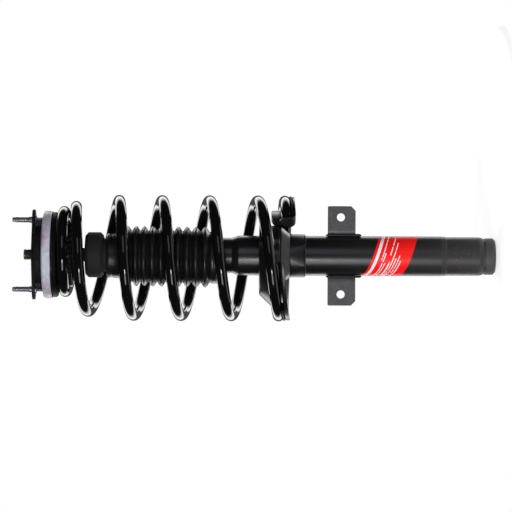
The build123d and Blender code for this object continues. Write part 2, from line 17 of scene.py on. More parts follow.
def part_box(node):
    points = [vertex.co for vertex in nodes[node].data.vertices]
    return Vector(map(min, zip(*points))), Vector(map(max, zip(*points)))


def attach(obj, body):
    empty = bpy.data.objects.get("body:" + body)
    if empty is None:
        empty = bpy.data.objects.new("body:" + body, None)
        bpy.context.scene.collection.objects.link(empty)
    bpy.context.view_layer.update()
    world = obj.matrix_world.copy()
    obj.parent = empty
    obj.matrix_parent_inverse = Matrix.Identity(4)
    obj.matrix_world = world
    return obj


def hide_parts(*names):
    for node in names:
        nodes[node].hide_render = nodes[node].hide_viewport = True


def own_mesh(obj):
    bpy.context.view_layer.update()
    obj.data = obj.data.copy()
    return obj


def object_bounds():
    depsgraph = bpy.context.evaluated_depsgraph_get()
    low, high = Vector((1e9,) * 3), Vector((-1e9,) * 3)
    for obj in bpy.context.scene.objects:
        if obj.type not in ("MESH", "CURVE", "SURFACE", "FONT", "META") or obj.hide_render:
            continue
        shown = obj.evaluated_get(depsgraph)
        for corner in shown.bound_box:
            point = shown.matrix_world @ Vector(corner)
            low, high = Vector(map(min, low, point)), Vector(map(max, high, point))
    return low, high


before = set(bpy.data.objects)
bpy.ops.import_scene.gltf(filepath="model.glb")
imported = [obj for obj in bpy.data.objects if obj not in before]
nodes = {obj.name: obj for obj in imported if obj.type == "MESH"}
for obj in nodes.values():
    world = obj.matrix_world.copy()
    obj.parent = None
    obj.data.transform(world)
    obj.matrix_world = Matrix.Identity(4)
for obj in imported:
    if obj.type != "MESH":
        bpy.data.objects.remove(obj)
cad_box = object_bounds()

MM = 0.001


def low(node):
    """Height of a node's lowest point, in millimetres."""
    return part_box(node)[0].z / MM


def high(node):
    """Height of a node's highest point, in millimetres."""
    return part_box(node)[1].z / MM


def reach(node):
    """Largest distance of a node from the YZ plane, in millimetres."""
    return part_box(node)[1].x / MM


def add(name, data):
    """Put a mesh, a lamp or a camera into the scene and give its object."""
    made = bpy.data.objects.new(name, data)
    bpy.context.scene.collection.objects.link(made)
    return made


# %% [markdown]
# ## Camera
# The strut lies on its side in the picture: the camera looks along +Y from three metres away
# and is turned a quarter round its own axis, so that +X is up and the foot is on the right.
# A long lens keeps the coils nearly parallel, as a catalogue picture does.

# %% Camera
camera_distance = 3.1
view_height = 0.26395  # level that the lens looks at
view_side = -0.00065
picture_roll = radians(0.27)
lens_mm = 167.7

camera = add("camera", bpy.data.cameras.new("camera"))
camera.data.lens = lens_mm
camera.data.sensor_width = 36.0
right = Vector((sin(picture_roll), 0, -cos(picture_roll)))
up = Vector((cos(picture_roll), 0, sin(picture_roll)))
back = right.cross(up)
camera_axes = Matrix((right, up, back)).transposed()
stand = Matrix.Translation((view_side, -camera_distance, view_height))
camera.matrix_world = stand @ camera_axes.to_4x4()
bpy.context.scene.camera = camera
bpy.context.scene.view_settings.view_transform = "Standard"
print("camera back", [round(c, 3) for c in back])

# %% [markdown]
# ## Nodes
# The studio, the finishes and the spring are all set up with nodes, so a few short functions
# that add a node and link it come first.


# %% Node helpers
def put(tree, kind, fill=None, **options):
    """Add a node, set its options and fill its inputs with values or with other sockets."""
    made = tree.nodes.new(kind)
    for option, value in options.items():
        setattr(made, option, value)
    for key, value in (fill or {}).items():
        if isinstance(value, bpy.types.NodeSocket):
            tree.links.new(value, made.inputs[key])
        else:
            made.inputs[key].default_value = value
    return made


def maths(tree, operation, *values):
    """Add a Math node and give its result."""
    return put(tree, "ShaderNodeMath", dict(enumerate(values)), operation=operation).outputs[0]


def spread(tree, value, start, end, to_start=0.0, to_end=1.0):
    """Carry a value smoothly from one range to another and give the result."""
    fill = {"Value": value, "From Min": start, "From Max": end, "To Min": to_start, "To Max": to_end}
    return put(tree, "ShaderNodeMapRange", fill, interpolation_type="SMOOTHSTEP").outputs[0]


def blended(tree, share, one, two):
    """Mix two colours by a share and give the colour."""
    mix = put(tree, "ShaderNodeMix", data_type="RGBA")
    for slot, value in ((0, share), (6, one), (7, two)):
        if isinstance(value, bpy.types.NodeSocket):
            tree.links.new(value, mix.inputs[slot])
        else:
            mix.inputs[slot].default_value = value
    return mix.outputs[2]


def noise(tree, where, scale, detail=3.0, rough=0.5, warp=0.0):
    """Add a noise at so many grains a metre and give its value, 0 to 1."""
    fill = {"Vector": where, "Scale": scale, "Detail": detail, "Roughness": rough, "Distortion": warp}
    return put(tree, "ShaderNodeTexNoise", fill).outputs[0]


# %% [markdown]
# ## Light
# A black part shows its shape only by what it mirrors. The studio is white behind the part, so
# each round edge gets a pale rim, and dim on the camera's side. There a softbox draws the band
# of light on the tube, a bluish one lights the other side, a small lamp puts sparks on the
# coils, and a wide fill that no surface mirrors lifts the darkest faces.

# %% Studio world
world = bpy.data.worlds.new("studio")
bpy.context.scene.world = world
world.use_nodes = True
sky = world.node_tree
sky.nodes.clear()
ring_light = 4.0  # white panels round the back, seen in every round edge
back_light = 0.12  # straight behind, which leaves a thin grey outline
room_light = 0.03
white = {"Color": (1, 1, 1, 1)}

# Headings along +Y run from -1 in front of the strut to 1 behind it.
facing = put(sky, "ShaderNodeTexCoord").outputs["Generated"]
heading = put(sky, "ShaderNodeSeparateXYZ", {0: facing}).outputs["Y"]
panels = spread(sky, heading, 0.60, 0.82, room_light, ring_light)
behind = spread(sky, heading, 0.84, 0.93, ring_light, back_light)
strength = maths(sky, "MINIMUM", panels, behind)
lit = put(sky, "ShaderNodeBackground", {"Strength": strength, **white}).outputs[0]
seen = put(sky, "ShaderNodeBackground", white).outputs[0]
ray = put(sky, "ShaderNodeLightPath").outputs["Is Camera Ray"]
mixed = put(sky, "ShaderNodeMixShader", {0: ray, 1: lit, 2: seen}).outputs[0]
put(sky, "ShaderNodeOutputWorld", {"Surface": mixed})
print("world: panels", ring_light, "behind", back_light, "room", room_light)

# %% Softboxes
lamp_distance = 1.6


def softbox(name, around, watts, width, length, colour=(1, 1, 1), mirrored=True):
    """Hang a lamp round the strut, around degrees from the camera's side towards -X."""
    lamp = bpy.data.lights.new(name, "AREA")
    lamp.shape = "RECTANGLE"
    lamp.size, lamp.size_y = width, length
    lamp.energy = watts
    lamp.color = colour
    obj = add(name, lamp)
    angle = radians(around)
    place = Vector((-sin(angle), -cos(angle), 0)) * lamp_distance
    place.z = view_height
    obj.location = place
    aim = Vector((0, 0, view_height)) - place
    obj.rotation_euler = aim.to_track_quat("-Z", "Y").to_euler()
    obj.visible_camera = False
    obj.visible_glossy = mirrored


softbox("band_softbox", 34.0, 7.5, 0.80, 0.62, (1.0, 0.96, 1.0))
softbox("side_softbox", -25.0, 2.0, 0.85, 0.62, (0.82, 0.84, 1.0))
softbox("key_spark", 24.0, 3.0, 0.16, 0.16)
softbox("plain_fill", 8.0, 15.0, 1.2, 1.2, mirrored=False)

# %% [markdown]
# ## Floor
# The floor is a plain pale disc just under the foot. It is small, so that from the front it is
# only a thin white line, and it glows a little, so that the foot isn't in the dark.

# %% Floor
floor_radius = 0.30
floor_bevel = 0.02
floor_level = cad_box[0].z
ring = np.linspace(0, 2 * pi, 96, endpoint=False)
rim = np.stack([np.cos(ring), np.sin(ring), np.zeros(96)], 1) * floor_radius
inner = rim * (1 - floor_bevel)
rim[:, 2] = floor_level - floor_bevel / 4
inner[:, 2] = floor_level
floor_mesh = bpy.data.meshes.new("floor")
step = np.arange(96)
after = np.roll(step, -1)
edge_faces = np.stack([step, after, after + 96, step + 96], 1).tolist()
floor_mesh.from_pydata(np.concatenate([rim, inner]).tolist(), [], edge_faces + [list(range(96, 192))])
floor = add("floor", floor_mesh)
print("floor at", round(floor_level / MM, 1), "mm")

# %% [markdown]
# ## Turned parts
# Most of a strut is turned, drawn or moulded round, so most pieces are an outline carried round
# an axis. Real outlines have no sharp corners: each corner here is a small arc, and it is the
# arc that catches the light.


# %% Rounded outlines
def rounded(corners, steps=5):
    """Closed outline with an arc at each corner, as an array of (radius, height) points.

    corners has rows (radius, height, arc radius). With half the corner's angle h, the arc starts
    and ends arc radius / tan(h) from the corner, and its centre lies arc radius / sin(h) away
    on the line that halves the corner. Its points turn evenly from one end to the other.
    """
    corners = np.array(corners, float)
    place, size = corners[:, :2], corners[:, 2:]
    towards = np.roll(place, 1, 0) - place, np.roll(place, -1, 0) - place
    length = [np.linalg.norm(t, axis=1, keepdims=True) for t in towards]
    one, two = (t / n for t, n in zip(towards, length))
    half = np.arccos(np.clip((one * two).sum(1, keepdims=True), -0.9999, 0.9999)) / 2
    room = 0.48 * np.minimum(*length) * np.tan(half)
    size = np.minimum(size, room)
    middle = one + two
    middle /= np.maximum(np.linalg.norm(middle, axis=1, keepdims=True), 1e-9)
    centre = place + middle * size / np.sin(half)
    start = place + one * size / np.tan(half) - centre
    end = place + two * size / np.tan(half) - centre
    sweep = pi - 2 * half
    t = np.linspace(0, 1, steps + 1)
    weight = [np.sin((1 - t) * sweep) / np.sin(sweep), np.sin(t * sweep) / np.sin(sweep)]
    first, second = (w[..., None] for w in weight)
    return (centre[:, None] + start[:, None] * first + end[:, None] * second).reshape(-1, 2)


def dense(outline, longest):
    """Split a closed outline's long sides into equal parts no longer than longest."""
    after = np.roll(outline, -1, 0)
    count = np.maximum(1, np.ceil(np.linalg.norm(after - outline, axis=1) / longest)).astype(int)
    side = np.repeat(np.arange(len(outline)), count)
    share = (np.arange(len(side)) - np.repeat(np.cumsum(count) - count, count)) / count[side]
    return outline[side] + (after - outline)[side] * share[:, None]


square = rounded([(0, 0, 0.1), (1, 0, 0.1), (1, 1, 0.1), (0, 1, 0.1)])
print("a rounded square has", len(square), "points")


# %% Surfaces from grids
def grid_faces(rows, columns, wrap_rows, wrap_columns):
    """Quads between neighbouring points of a grid, joined round where it wraps."""
    row = np.arange(rows if wrap_rows else rows - 1)
    column = np.arange(columns if wrap_columns else columns - 1)
    r, c = (g.ravel() for g in np.meshgrid(row, column, indexing="ij"))
    r2, c2 = (r + 1) % rows, (c + 1) % columns
    return np.stack([r * columns + c, r * columns + c2, r2 * columns + c2, r2 * columns + c], 1)


def volume(points, quads):
    """Signed volume of a closed shell: the sum of the tetrahedra from the origin to its faces."""
    a, b, c, d = (points[quads[:, k]] for k in range(4))
    return (np.cross(a, b) * c).sum() / 6 + (np.cross(a, c) * d).sum() / 6


def shell(grid, ends=False):
    """Points and faces of a closed shell, in millimetres, from a (rows, columns, 3) array.

    Columns run round a closed outline. Rows close on themselves, or with ends=True the first
    and the last row are each closed by a fan round their middle point.
    """
    rows, columns = grid.shape[:2]
    points = grid.reshape(-1, 3)
    quads = grid_faces(rows, columns, not ends, True)
    if ends:
        caps = np.stack([grid[0].mean(0), grid[-1].mean(0)])
        c = np.arange(columns)
        c2 = np.roll(c, -1)
        last = (rows - 1) * columns
        first = np.full(columns, len(points))
        fans = [np.stack([first, c2, c, c], 1), np.stack([first + 1, last + c, last + c2, last + c2], 1)]
        quads = np.concatenate([quads, *fans])
        points = np.concatenate([points, caps])
    if volume(points, quads) < 0:
        quads = quads[:, ::-1]
    return points, quads


def build(name, shells, body, material, stands_for=(), crease=40.0):
    """Make one object from several shells, smooth it, and let it ride on a body."""
    count, places, faces = 0, [], []
    for points, quads in shells:
        places.append(points)
        faces.append(quads + count)
        count += len(points)
    mesh = bpy.data.meshes.new(name)
    corners = [list(dict.fromkeys(q)) for q in np.concatenate(faces).tolist()]
    mesh.from_pydata((np.concatenate(places) * MM).tolist(), [], corners)
    mesh.validate()
    merged = bmesh.new()
    merged.from_mesh(mesh)
    bmesh.ops.remove_doubles(merged, verts=merged.verts, dist=1e-7)
    merged.to_mesh(mesh)
    merged.free()
    mesh.shade_smooth()
    mesh.set_sharp_from_angle(angle=radians(crease))
    mesh.materials.append(material)
    piece = add(name, mesh)
    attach(piece, body)
    if stands_for:
        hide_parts(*stands_for)
    print(name, len(mesh.polygons), "faces")
    return piece


turn_steps = 144


def lathe(outline, centre=0.0, wave=None, steps=turn_steps):
    """Closed shell of a closed outline carried round the axis.

    At angle a a point (r, z) lands at (centre + r cos a, r sin a, z). centre may be one number
    for each outline point. wave(r, z, a) may give new r and z.
    """
    angle = np.linspace(0, 2 * pi, steps, endpoint=False)[:, None]
    r = np.broadcast_to(outline[:, 0], (steps, len(outline)))
    z = np.broadcast_to(outline[:, 1], r.shape)
    if wave:
        r, z = wave(r, z, angle)
    r = np.maximum(r, 0.0)
    return shell(np.stack([centre + r * np.cos(angle), r * np.sin(angle), z + 0 * angle], 2))


def turned(name, corners, longest, body, material, node, arc_steps=5, **how):
    """Make one turned piece from the corners of its outline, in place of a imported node."""
    outline = dense(rounded(corners, arc_steps), longest)
    return build(name, [lathe(outline, **how)], body, material, [node])


print("a turn has", turn_steps, "steps")

# %% [markdown]
# ## Effects that several finishes share
# A finish is a base colour and a gloss, and then the small things that break both up: the
# ripple of a sprayed film, rings left by a lathe, grain from a mould, rubbed edges, dust. Each
# of these is a node group with its own dials, so that one effect serves many materials.


# %% Node groups
def new_effect(name, dials, results):
    """Start a node group: dials are its number inputs with their defaults, results its outputs."""
    tree = bpy.data.node_groups.new(name, "ShaderNodeTree")
    for dial, value in dials.items():
        made = tree.interface.new_socket(name=dial, in_out="INPUT", socket_type="NodeSocketFloat")
        made.default_value = value
    for result in results:
        tree.interface.new_socket(name=result, in_out="OUTPUT", socket_type="NodeSocketFloat")
    entry = tree.nodes.new("NodeGroupInput")
    leave = tree.nodes.new("NodeGroupOutput")
    place = tree.nodes.new("ShaderNodeTexCoord").outputs["Object"]
    return tree, entry.outputs, leave.inputs, place


def give(tree, outputs, **results):
    """Link a group's results to its outputs."""
    for name, socket in results.items():
        tree.links.new(socket, outputs[name])


# %% Sprayed film
film, dial, out, place = new_effect(
    "sprayed_film", {"Ripples": 420.0, "Specks": 0.3}, ("Height", "Patch", "Speck")
)
ripple = noise(film, place, dial["Ripples"], 2.0, 0.4)
fine = noise(film, place, 2600.0, 1.0)
height = maths(film, "ADD", ripple, maths(film, "MULTIPLY", fine, 0.12))
patch = noise(film, place, 38.0, 4.0, 0.6, 0.4)
lump = noise(film, place, 760.0, 1.0, 0.5)
where_dusty = spread(film, noise(film, place, 24.0, 3.0), 0.42, 0.66)
limit = maths(film, "SUBTRACT", 0.84, maths(film, "MULTIPLY", dial["Specks"], 0.16))
dot = spread(film, maths(film, "SUBTRACT", lump, limit), 0.0, 0.05)
give(film, out, Height=height, Patch=patch, Speck=maths(film, "MULTIPLY", dot, where_dusty))
print(film.name, len(film.nodes), "nodes")

# %% Rubbed edges
# Pointiness is above a half on an outward edge, so it says where hands and boxes rub.
rubbed, dial, out, place = new_effect("rubbed_edge", {"Start": 0.53, "Full": 0.60}, ("Mask",))
pointed = put(rubbed, "ShaderNodeNewGeometry").outputs["Pointiness"]
edge = put(
    rubbed,
    "ShaderNodeMapRange",
    {"Value": pointed, "From Min": dial["Start"], "From Max": dial["Full"]},
).outputs[0]
broken = spread(rubbed, noise(rubbed, place, 210.0, 4.0, 0.7), 0.38, 0.62)
give(rubbed, out, Mask=maths(rubbed, "MULTIPLY", edge, broken))
print(rubbed.name, len(rubbed.nodes), "nodes")

# %% Lathe rings
# Noise read at (radius, height) instead of (x, y, z) is the same all the way round, so it
# makes rings. A little of the plain place is added, so that the rings break up.
rings, dial, out, place = new_effect("lathe_rings", {"Fineness": 2400.0}, ("Height", "Tone"))
apart = put(rings, "ShaderNodeSeparateXYZ", {0: place}).outputs
across = put(rings, "ShaderNodeCombineXYZ", {0: apart["X"], 1: apart["Y"]}).outputs[0]
radius = put(rings, "ShaderNodeVectorMath", {0: across}, operation="LENGTH").outputs["Value"]
lane = put(rings, "ShaderNodeCombineXYZ", {0: radius, 2: apart["Z"]}).outputs[0]
groove = noise(rings, lane, dial["Fineness"], 2.0, 0.7)
band = noise(rings, lane, 160.0, 3.0)
give(rings, out, Height=groove, Tone=maths(rings, "MULTIPLY", band, noise(rings, place, 55.0)))
print(rings.name, len(rings.nodes), "nodes")

# %% Moulded grain
grain, dial, out, place = new_effect("moulded_grain", {"Grain": 1500.0}, ("Height", "Tone"))
coarse = noise(grain, place, dial["Grain"], 5.0, 0.62)
cell = put(grain, "ShaderNodeTexVoronoi", {"Vector": place, "Scale": dial["Grain"]}).outputs[0]
bloom = noise(grain, place, 70.0, 5.0, 0.6, 0.8)
height = maths(grain, "ADD", maths(grain, "MULTIPLY", coarse, 0.7), maths(grain, "MULTIPLY", cell, 0.3))
give(grain, out, Height=height, Tone=bloom)
print(grain.name, len(grain.nodes), "nodes")

# %% Rust specks
rust, dial, out, place = new_effect("rust_specks", {"Amount": 0.3}, ("Mask", "Depth"))
spot = noise(rust, place, 330.0, 3.0, 0.6)
region = noise(rust, place, 26.0, 2.0)
limit = maths(rust, "SUBTRACT", 0.80, maths(rust, "MULTIPLY", dial["Amount"], 0.2))
both = maths(rust, "MULTIPLY_ADD", region, 0.25, spot)
mask = spread(rust, maths(rust, "SUBTRACT", both, limit), 0.0, 0.06)
give(rust, out, Mask=mask, Depth=noise(rust, place, 1500.0))
print(rust.name, len(rust.nodes), "nodes")

# %% [markdown]
# ## Finishes
# Each finish keeps its own Principled shader and takes its breakup from the groups. Black
# paint, black rubber and black foam have nearly the same colour, so gloss and grain have to
# tell them apart.

# %% Colours
black_paint = (0.0050, 0.0050, 0.0058, 1)
worn_paint = (0.035, 0.034, 0.036, 1)
dust_colour = (0.21, 0.20, 0.18, 1)
rust_colour = (0.17, 0.055, 0.018, 1)


def start_finish(name, **shader):
    """New material with a Principled shader, with its constant settings on its own sockets."""
    made = bpy.data.materials.new(name)
    made.use_nodes = True
    tree = made.node_tree
    body = tree.nodes["Principled BSDF"]
    for socket, value in shader.items():
        body.inputs[socket.replace("_", " ")].default_value = value
    return made, tree, body


def effect(tree, group, **dials):
    """Place a shared effect with its own dial settings and give its outputs."""
    made = put(tree, "ShaderNodeGroup", node_tree=group)
    for dial, value in dials.items():
        made.inputs[dial].default_value = value
    return made.outputs


def wire_up(tree, body, tone, gloss, height, deep_mm):
    """Send a colour, a roughness and, through a Bump node, a height into the shader."""
    tree.links.new(tone, body.inputs["Base Color"])
    tree.links.new(gloss, body.inputs["Roughness"])
    fill = {"Height": height, "Distance": deep_mm * MM, "Strength": 1.0}
    tree.links.new(put(tree, "ShaderNodeBump", fill).outputs[0], body.inputs["Normal"])


def object_place(tree):
    """Position in the object's own space."""
    return put(tree, "ShaderNodeTexCoord").outputs["Object"]


def painted(name, colour, rough, rough_patch, ripples=420.0, deep=0.02, specks=0.3, wear=0.5, **shader):
    """Sprayed or dipped paint: rippled film, patchy gloss, dust and rubbed edges."""
    made, tree, body = start_finish(name, **shader)
    coat = effect(tree, film, Ripples=ripples, Specks=specks)
    rub = maths(tree, "MULTIPLY", effect(tree, rubbed)["Mask"], wear)
    lighter = tuple(c * 1.5 for c in colour[:3]) + (1,)
    tone = blended(tree, coat["Patch"], colour, lighter)
    tone = blended(tree, rub, tone, worn_paint)
    tone = blended(tree, maths(tree, "MULTIPLY", coat["Speck"], 0.6), tone, dust_colour)
    gloss = spread(tree, coat["Patch"], 0.25, 0.75, rough, rough + rough_patch)
    gloss = maths(tree, "ADD", gloss, maths(tree, "MULTIPLY", coat["Speck"], 0.3))
    wire_up(tree, body, tone, gloss, coat["Height"], deep)
    return made


def moulded(name, colour, rough, grain_size=1500.0, deep=0.03, haze=1.8, **shader):
    """Rubber, foam or plastic: mould grain, with patches of bloom that lift tone and gloss."""
    made, tree, body = start_finish(name, **shader)
    skin = effect(tree, grain, Grain=grain_size)
    dust = effect(tree, film, Specks=0.7)
    hazy = tuple(min(1.0, c * haze) for c in colour[:3]) + (1,)
    tone = blended(tree, spread(tree, skin["Tone"], 0.35, 0.7), colour, hazy)
    tone = blended(tree, maths(tree, "MULTIPLY", dust["Speck"], 0.5), tone, dust_colour)
    gloss = spread(tree, skin["Tone"], 0.3, 0.7, rough, rough * 1.3)
    wire_up(tree, body, tone, gloss, skin["Height"], deep)
    return made


def machined(name, colour, rough, fineness=2400.0, deep=0.012, tint=0.7, **shader):
    """Turned or plated metal: fine rings, cloudy tone and small rubbed edges."""
    made, tree, body = start_finish(name, Metallic=1.0, **shader)
    cut = effect(tree, rings, Fineness=fineness)
    cloud = effect(tree, film, Specks=0.1)
    darker = tuple(c * tint for c in colour[:3]) + (1,)
    tone = blended(tree, spread(tree, cloud["Patch"], 0.3, 0.7), darker, colour)
    gloss = spread(tree, cut["Tone"], 0.1, 0.45, rough, rough * 1.6)
    wire_up(tree, body, tone, gloss, cut["Height"], deep)
    return made


# %% Finishes of the strut
spring_gloss = painted("spring_gloss", (0.0020, 0.0020, 0.0020, 1), 0.06, 0.04, 300.0, 0.008, 0.2, 0.2)
seat_black = painted("seat_black", black_paint, 0.28, 0.10, 420.0, 0.02, 0.3, 0.4)
bracket_black = painted("bracket_black", (0.050, 0.047, 0.051, 1), 0.36, 0.12, 500.0, 0.02, 0.5, 0.6)
mount_black = painted(
    "mount_black", (0.004, 0.004, 0.005, 1), 0.50, 0.12, 520.0, 0.025, 0.5, 0.5, Specular_IOR_Level=0.15
)
cap_black = painted("cap_black", (0.027, 0.027, 0.026, 1), 0.40, 0.16, 600.0, 0.02, 0.5, 0.8)
weld_black = painted("weld_black", (0.006, 0.006, 0.007, 1), 0.34, 0.16, 900.0, 0.06, 0.5, 0.6)
boot_black = moulded("boot_black", (0.0048, 0.0048, 0.0052, 1), 0.28, 1200.0, 0.015)
foam_black = moulded("foam_black", (0.0085, 0.0082, 0.0088, 1), 0.72, 900.0, 0.10)
pad_black = moulded("pad_black", (0.003, 0.003, 0.003, 1), 0.50, 1400.0, 0.015, Specular_IOR_Level=0.15)
mount_rubber_black = moulded(
    "mount_rubber_black", (0.004, 0.004, 0.004, 1), 0.70, 1100.0, 0.03, Specular_IOR_Level=0.12
)
seal_black = moulded("seal_black", (0.012, 0.012, 0.012, 1), 0.42, 1800.0, 0.02)
cage_nylon = moulded("cage_nylon", (0.55, 0.52, 0.44, 1), 0.45, 1600.0, 0.015, haze=1.15)
band_bronze = moulded("band_bronze", (0.16, 0.10, 0.05, 1), 0.40, 2000.0, 0.01, haze=1.3)
zinc_plate = machined("zinc_plate", (0.66, 0.66, 0.67, 1), 0.26, 2600.0, 0.010)
bright_steel = machined("bright_steel", (0.55, 0.55, 0.56, 1), 0.22, 2400.0, 0.008)
dull_steel = machined("dull_steel", (0.34, 0.34, 0.35, 1), 0.38, 1800.0, 0.02)
ball_steel = machined("ball_steel", (0.62, 0.62, 0.64, 1), 0.12, 3000.0, 0.004)
sintered_iron = moulded("sintered_iron", (0.16, 0.16, 0.165, 1), 0.5, 2600.0, 0.05, Metallic=0.85)
print("materials", len(bpy.data.materials))

# %% [markdown]
# ### Paint on the tube
# The tube is dipped in black paint and baked, so its film is smooth. Towards the foot it turns
# paler and rougher in cloudy patches, and there a few small specks of rust have come through.


# %% Tube paint
def paint_tube():
    """Black dip paint, paler and rougher towards the foot, with rust specks that fade out above it."""
    made = painted("tube_dip_paint", (0.0042, 0.0040, 0.0046, 1), 0.26, 0.07, 340.0, 0.02, 0.3, 0.4)
    tree = made.node_tree
    body = tree.nodes["Principled BSDF"]
    marks = effect(tree, rust, Amount=0.06)
    place = object_place(tree)
    level = put(tree, "ShaderNodeSeparateXYZ", {0: place}).outputs["Z"]
    rusty = maths(tree, "MULTIPLY", marks["Mask"], spread(tree, level, 0.030, 0.010))
    # Paler, rougher cloudy patches that fade in from 200 mm down to 20 mm above the axis' origin.
    cloudy = spread(tree, noise(tree, place, 30.0, 4.0, 0.6), 0.2, 0.8, 0.7, 1.0)
    hazy = maths(tree, "MULTIPLY", spread(tree, level, 0.200, 0.020), cloudy)
    for share, colour, rough in ((hazy, (0.0155, 0.0155, 0.0150, 1), 0.40), (rusty, rust_colour, 0.85)):
        before = body.inputs["Base Color"].links[0].from_socket
        tree.links.new(blended(tree, share, before, colour), body.inputs["Base Color"])
        before = body.inputs["Roughness"].links[0].from_socket
        after = put(tree, "ShaderNodeMix", {0: share, 2: before, 3: rough}).outputs[0]
        tree.links.new(after, body.inputs["Roughness"])
    return made


tube_paint = paint_tube()

# %% [markdown]
# ### Bearing cover
# The pale ring is the moulded cover of the top bearing. It is natural nylon, slightly clear,
# with a smear of violet marking ink from the assembly line and dirt in its grain.


# %% Bearing cover nylon
def mould_cover():
    """Pale nylon with smears of violet ink on two stretches of its rim."""
    made, tree, body = start_finish("cover_nylon", Specular_IOR_Level=0.45, Subsurface_Weight=0.12)
    body.inputs["Subsurface Radius"].default_value = (0.004, 0.004, 0.005)
    skin = effect(tree, grain, Grain=1300.0)
    place = object_place(tree)
    apart = put(tree, "ShaderNodeSeparateXYZ", {0: place}).outputs
    pale, grey = (0.56, 0.59, 0.66, 1), (0.42, 0.44, 0.49, 1)
    tone = blended(tree, spread(tree, skin["Tone"], 0.35, 0.7), pale, grey)
    stain = noise(tree, place, 60.0, 5.0, 0.65, 0.5)
    speck = noise(tree, place, 420.0, 3.0, 0.7)
    rises, falls = spread(tree, apart["X"], 0.002, 0.018), spread(tree, apart["X"], 0.044, 0.034)
    upper = maths(tree, "MULTIPLY", rises, falls)
    lower = spread(tree, apart["X"], -0.022, -0.044)
    top_edge = spread(tree, apart["Z"], 0.5310, 0.5375)
    on_edge = maths(tree, "MULTIPLY", upper, top_edge)
    smear = maths(tree, "MULTIPLY", on_edge, spread(tree, stain, 0.3, 0.6))
    dots = maths(tree, "MULTIPLY", lower, spread(tree, speck, 0.44, 0.60))
    tone = blended(tree, maths(tree, "MULTIPLY", smear, 0.8), tone, (0.42, 0.13, 0.30, 1))
    tone = blended(tree, maths(tree, "MULTIPLY", dots, 0.6), tone, (0.46, 0.16, 0.30, 1))
    gloss = spread(tree, skin["Tone"], 0.3, 0.7, 0.34, 0.5)
    wire_up(tree, body, tone, gloss, skin["Height"], 0.02)
    return made


cover_nylon = mould_cover()


# %% [markdown]
# ### Piston rod
# The rod is hard chrome where it runs in the seal, and yellow zinc on the threaded end. One
# rod, one material: its height says which of the two it is.


# %% Rod chrome and its plated end
def plate_rod():
    """Mirror chrome below the mount, dull yellow zinc above it."""
    made, tree, body = start_finish("rod_chrome_and_zinc", Metallic=1.0)
    cut = effect(tree, rings, Fineness=2200.0)
    place = object_place(tree)
    level = put(tree, "ShaderNodeSeparateXYZ", {0: place}).outputs["Z"]
    end = spread(tree, level, (low("mount_core") - 1) * MM, (low("mount_core") + 1) * MM)
    cloud = effect(tree, film, Specks=0.2)["Patch"]
    yellow = blended(tree, cloud, (0.20, 0.17, 0.13, 1), (0.42, 0.36, 0.28, 1))
    tone = blended(tree, end, (0.72, 0.72, 0.74, 1), yellow)
    chrome_gloss = spread(tree, cut["Tone"], 0.1, 0.45, 0.06, 0.12)
    gloss = put(tree, "ShaderNodeMix", {0: end, 2: chrome_gloss, 3: 0.42}).outputs[0]
    wire_up(tree, body, tone, gloss, cut["Height"], 0.006)
    return made


rod_finish = plate_rod()


# %% Floor finish
def pale_floor():
    """Plain pale floor with a faint, even grain."""
    made, tree, body = start_finish(
        "pale_floor",
        Roughness=0.9,
        Specular_IOR_Level=0.1,
        Emission_Color=(1, 1, 1, 1),
        Emission_Strength=0.6,
    )
    place = object_place(tree)
    tone = blended(tree, noise(tree, place, 300.0), (0.93, 0.93, 0.93, 1), (0.97, 0.97, 0.97, 1))
    tree.links.new(tone, body.inputs["Base Color"])
    return made


floor_mesh.materials.append(pale_floor())
print("materials", len(bpy.data.materials))

# %% [markdown]
# ## Coil spring
# The spring is one round bar wound hot: two small closed turns on top, four open turns, and an
# end that lies on the lower seat. Its line is drawn once, and a round section follows it.
# The crests, where the wire crosses the sides, set the line's height, and their radius and
# offset set its plan. Smooth curves through them make an even winding, with no flat turns.

# %% Spring sizes
wire_r = 7.2
coil_r = 74.6
coil_shift = -3.8  # the full coils' centre, along X
end_coil_r = 51.9  # small coil on top
end_shift = 4.1
spring_h = 286.1  # first to last crest
first_crest = 513.0
top_drops = (0.0, 0.28, 1.85, 2.22)  # in wire radii
open_shares = (39.7, 19.8, 36.0, 25.4, 36.1, 29.3, 33.3, 28.0)
end_drops = (1.0, 1.25)
growth = (0.0, 0.0, 0.0, 0.45, 0.84)
lead_angle, tail_angle = 100.0, 45.0
low_turn = 12  # crest where the wire comes down on the seat's plate


def smooth(x, knots, values):
    """Curve through (knot, value) pairs that never overshoots them.

    Each span is a cubic with set slopes at its ends. A slope is the harmonic mean of the two
    chords that meet there, or nought where they turn back.
    """
    knots, values = np.array(knots, float), np.array(values, float)
    chord = np.diff(values) / np.diff(knots)
    both = chord[:-1] * chord[1:]
    mean = np.where(both > 0, 2 * both / np.where(both > 0, chord[:-1] + chord[1:], 1), 0)
    slope = np.concatenate([[chord[0]], mean, [chord[-1]]])
    k = np.clip(np.searchsorted(knots, x, side="right") - 1, 0, len(chord) - 1)
    wide = np.diff(knots)[k]
    t = (x - knots[k]) / wide
    keep, rise = (1 + 2 * t) * (1 - t) ** 2, t * t * (3 - 2 * t)
    return values[k] * keep + values[k + 1] * rise + wide * t * (1 - t) * (
        slope[k] * (1 - t) - slope[k + 1] * t
    )


closed_part = wire_r * (sum(top_drops) + end_drops[0])
share_height = (spring_h - closed_part) / sum(open_shares)
drops = [wire_r * d for d in top_drops]
drops += [share_height * share for share in open_shares]
drops += [wire_r * d for d in end_drops]
crest_levels = first_crest - np.concatenate([[0], np.cumsum(drops)])
crest_levels += first_crest - crest_levels[1]
crest_growth = list(growth) + [1.0] * (len(crest_levels) - len(growth))
print("crests at", np.round(crest_levels, 1))


def wire_level(turn):
    """Height of the wire's centre, turn half turns below the first crest."""
    return smooth(turn, np.arange(len(crest_levels)), crest_levels)


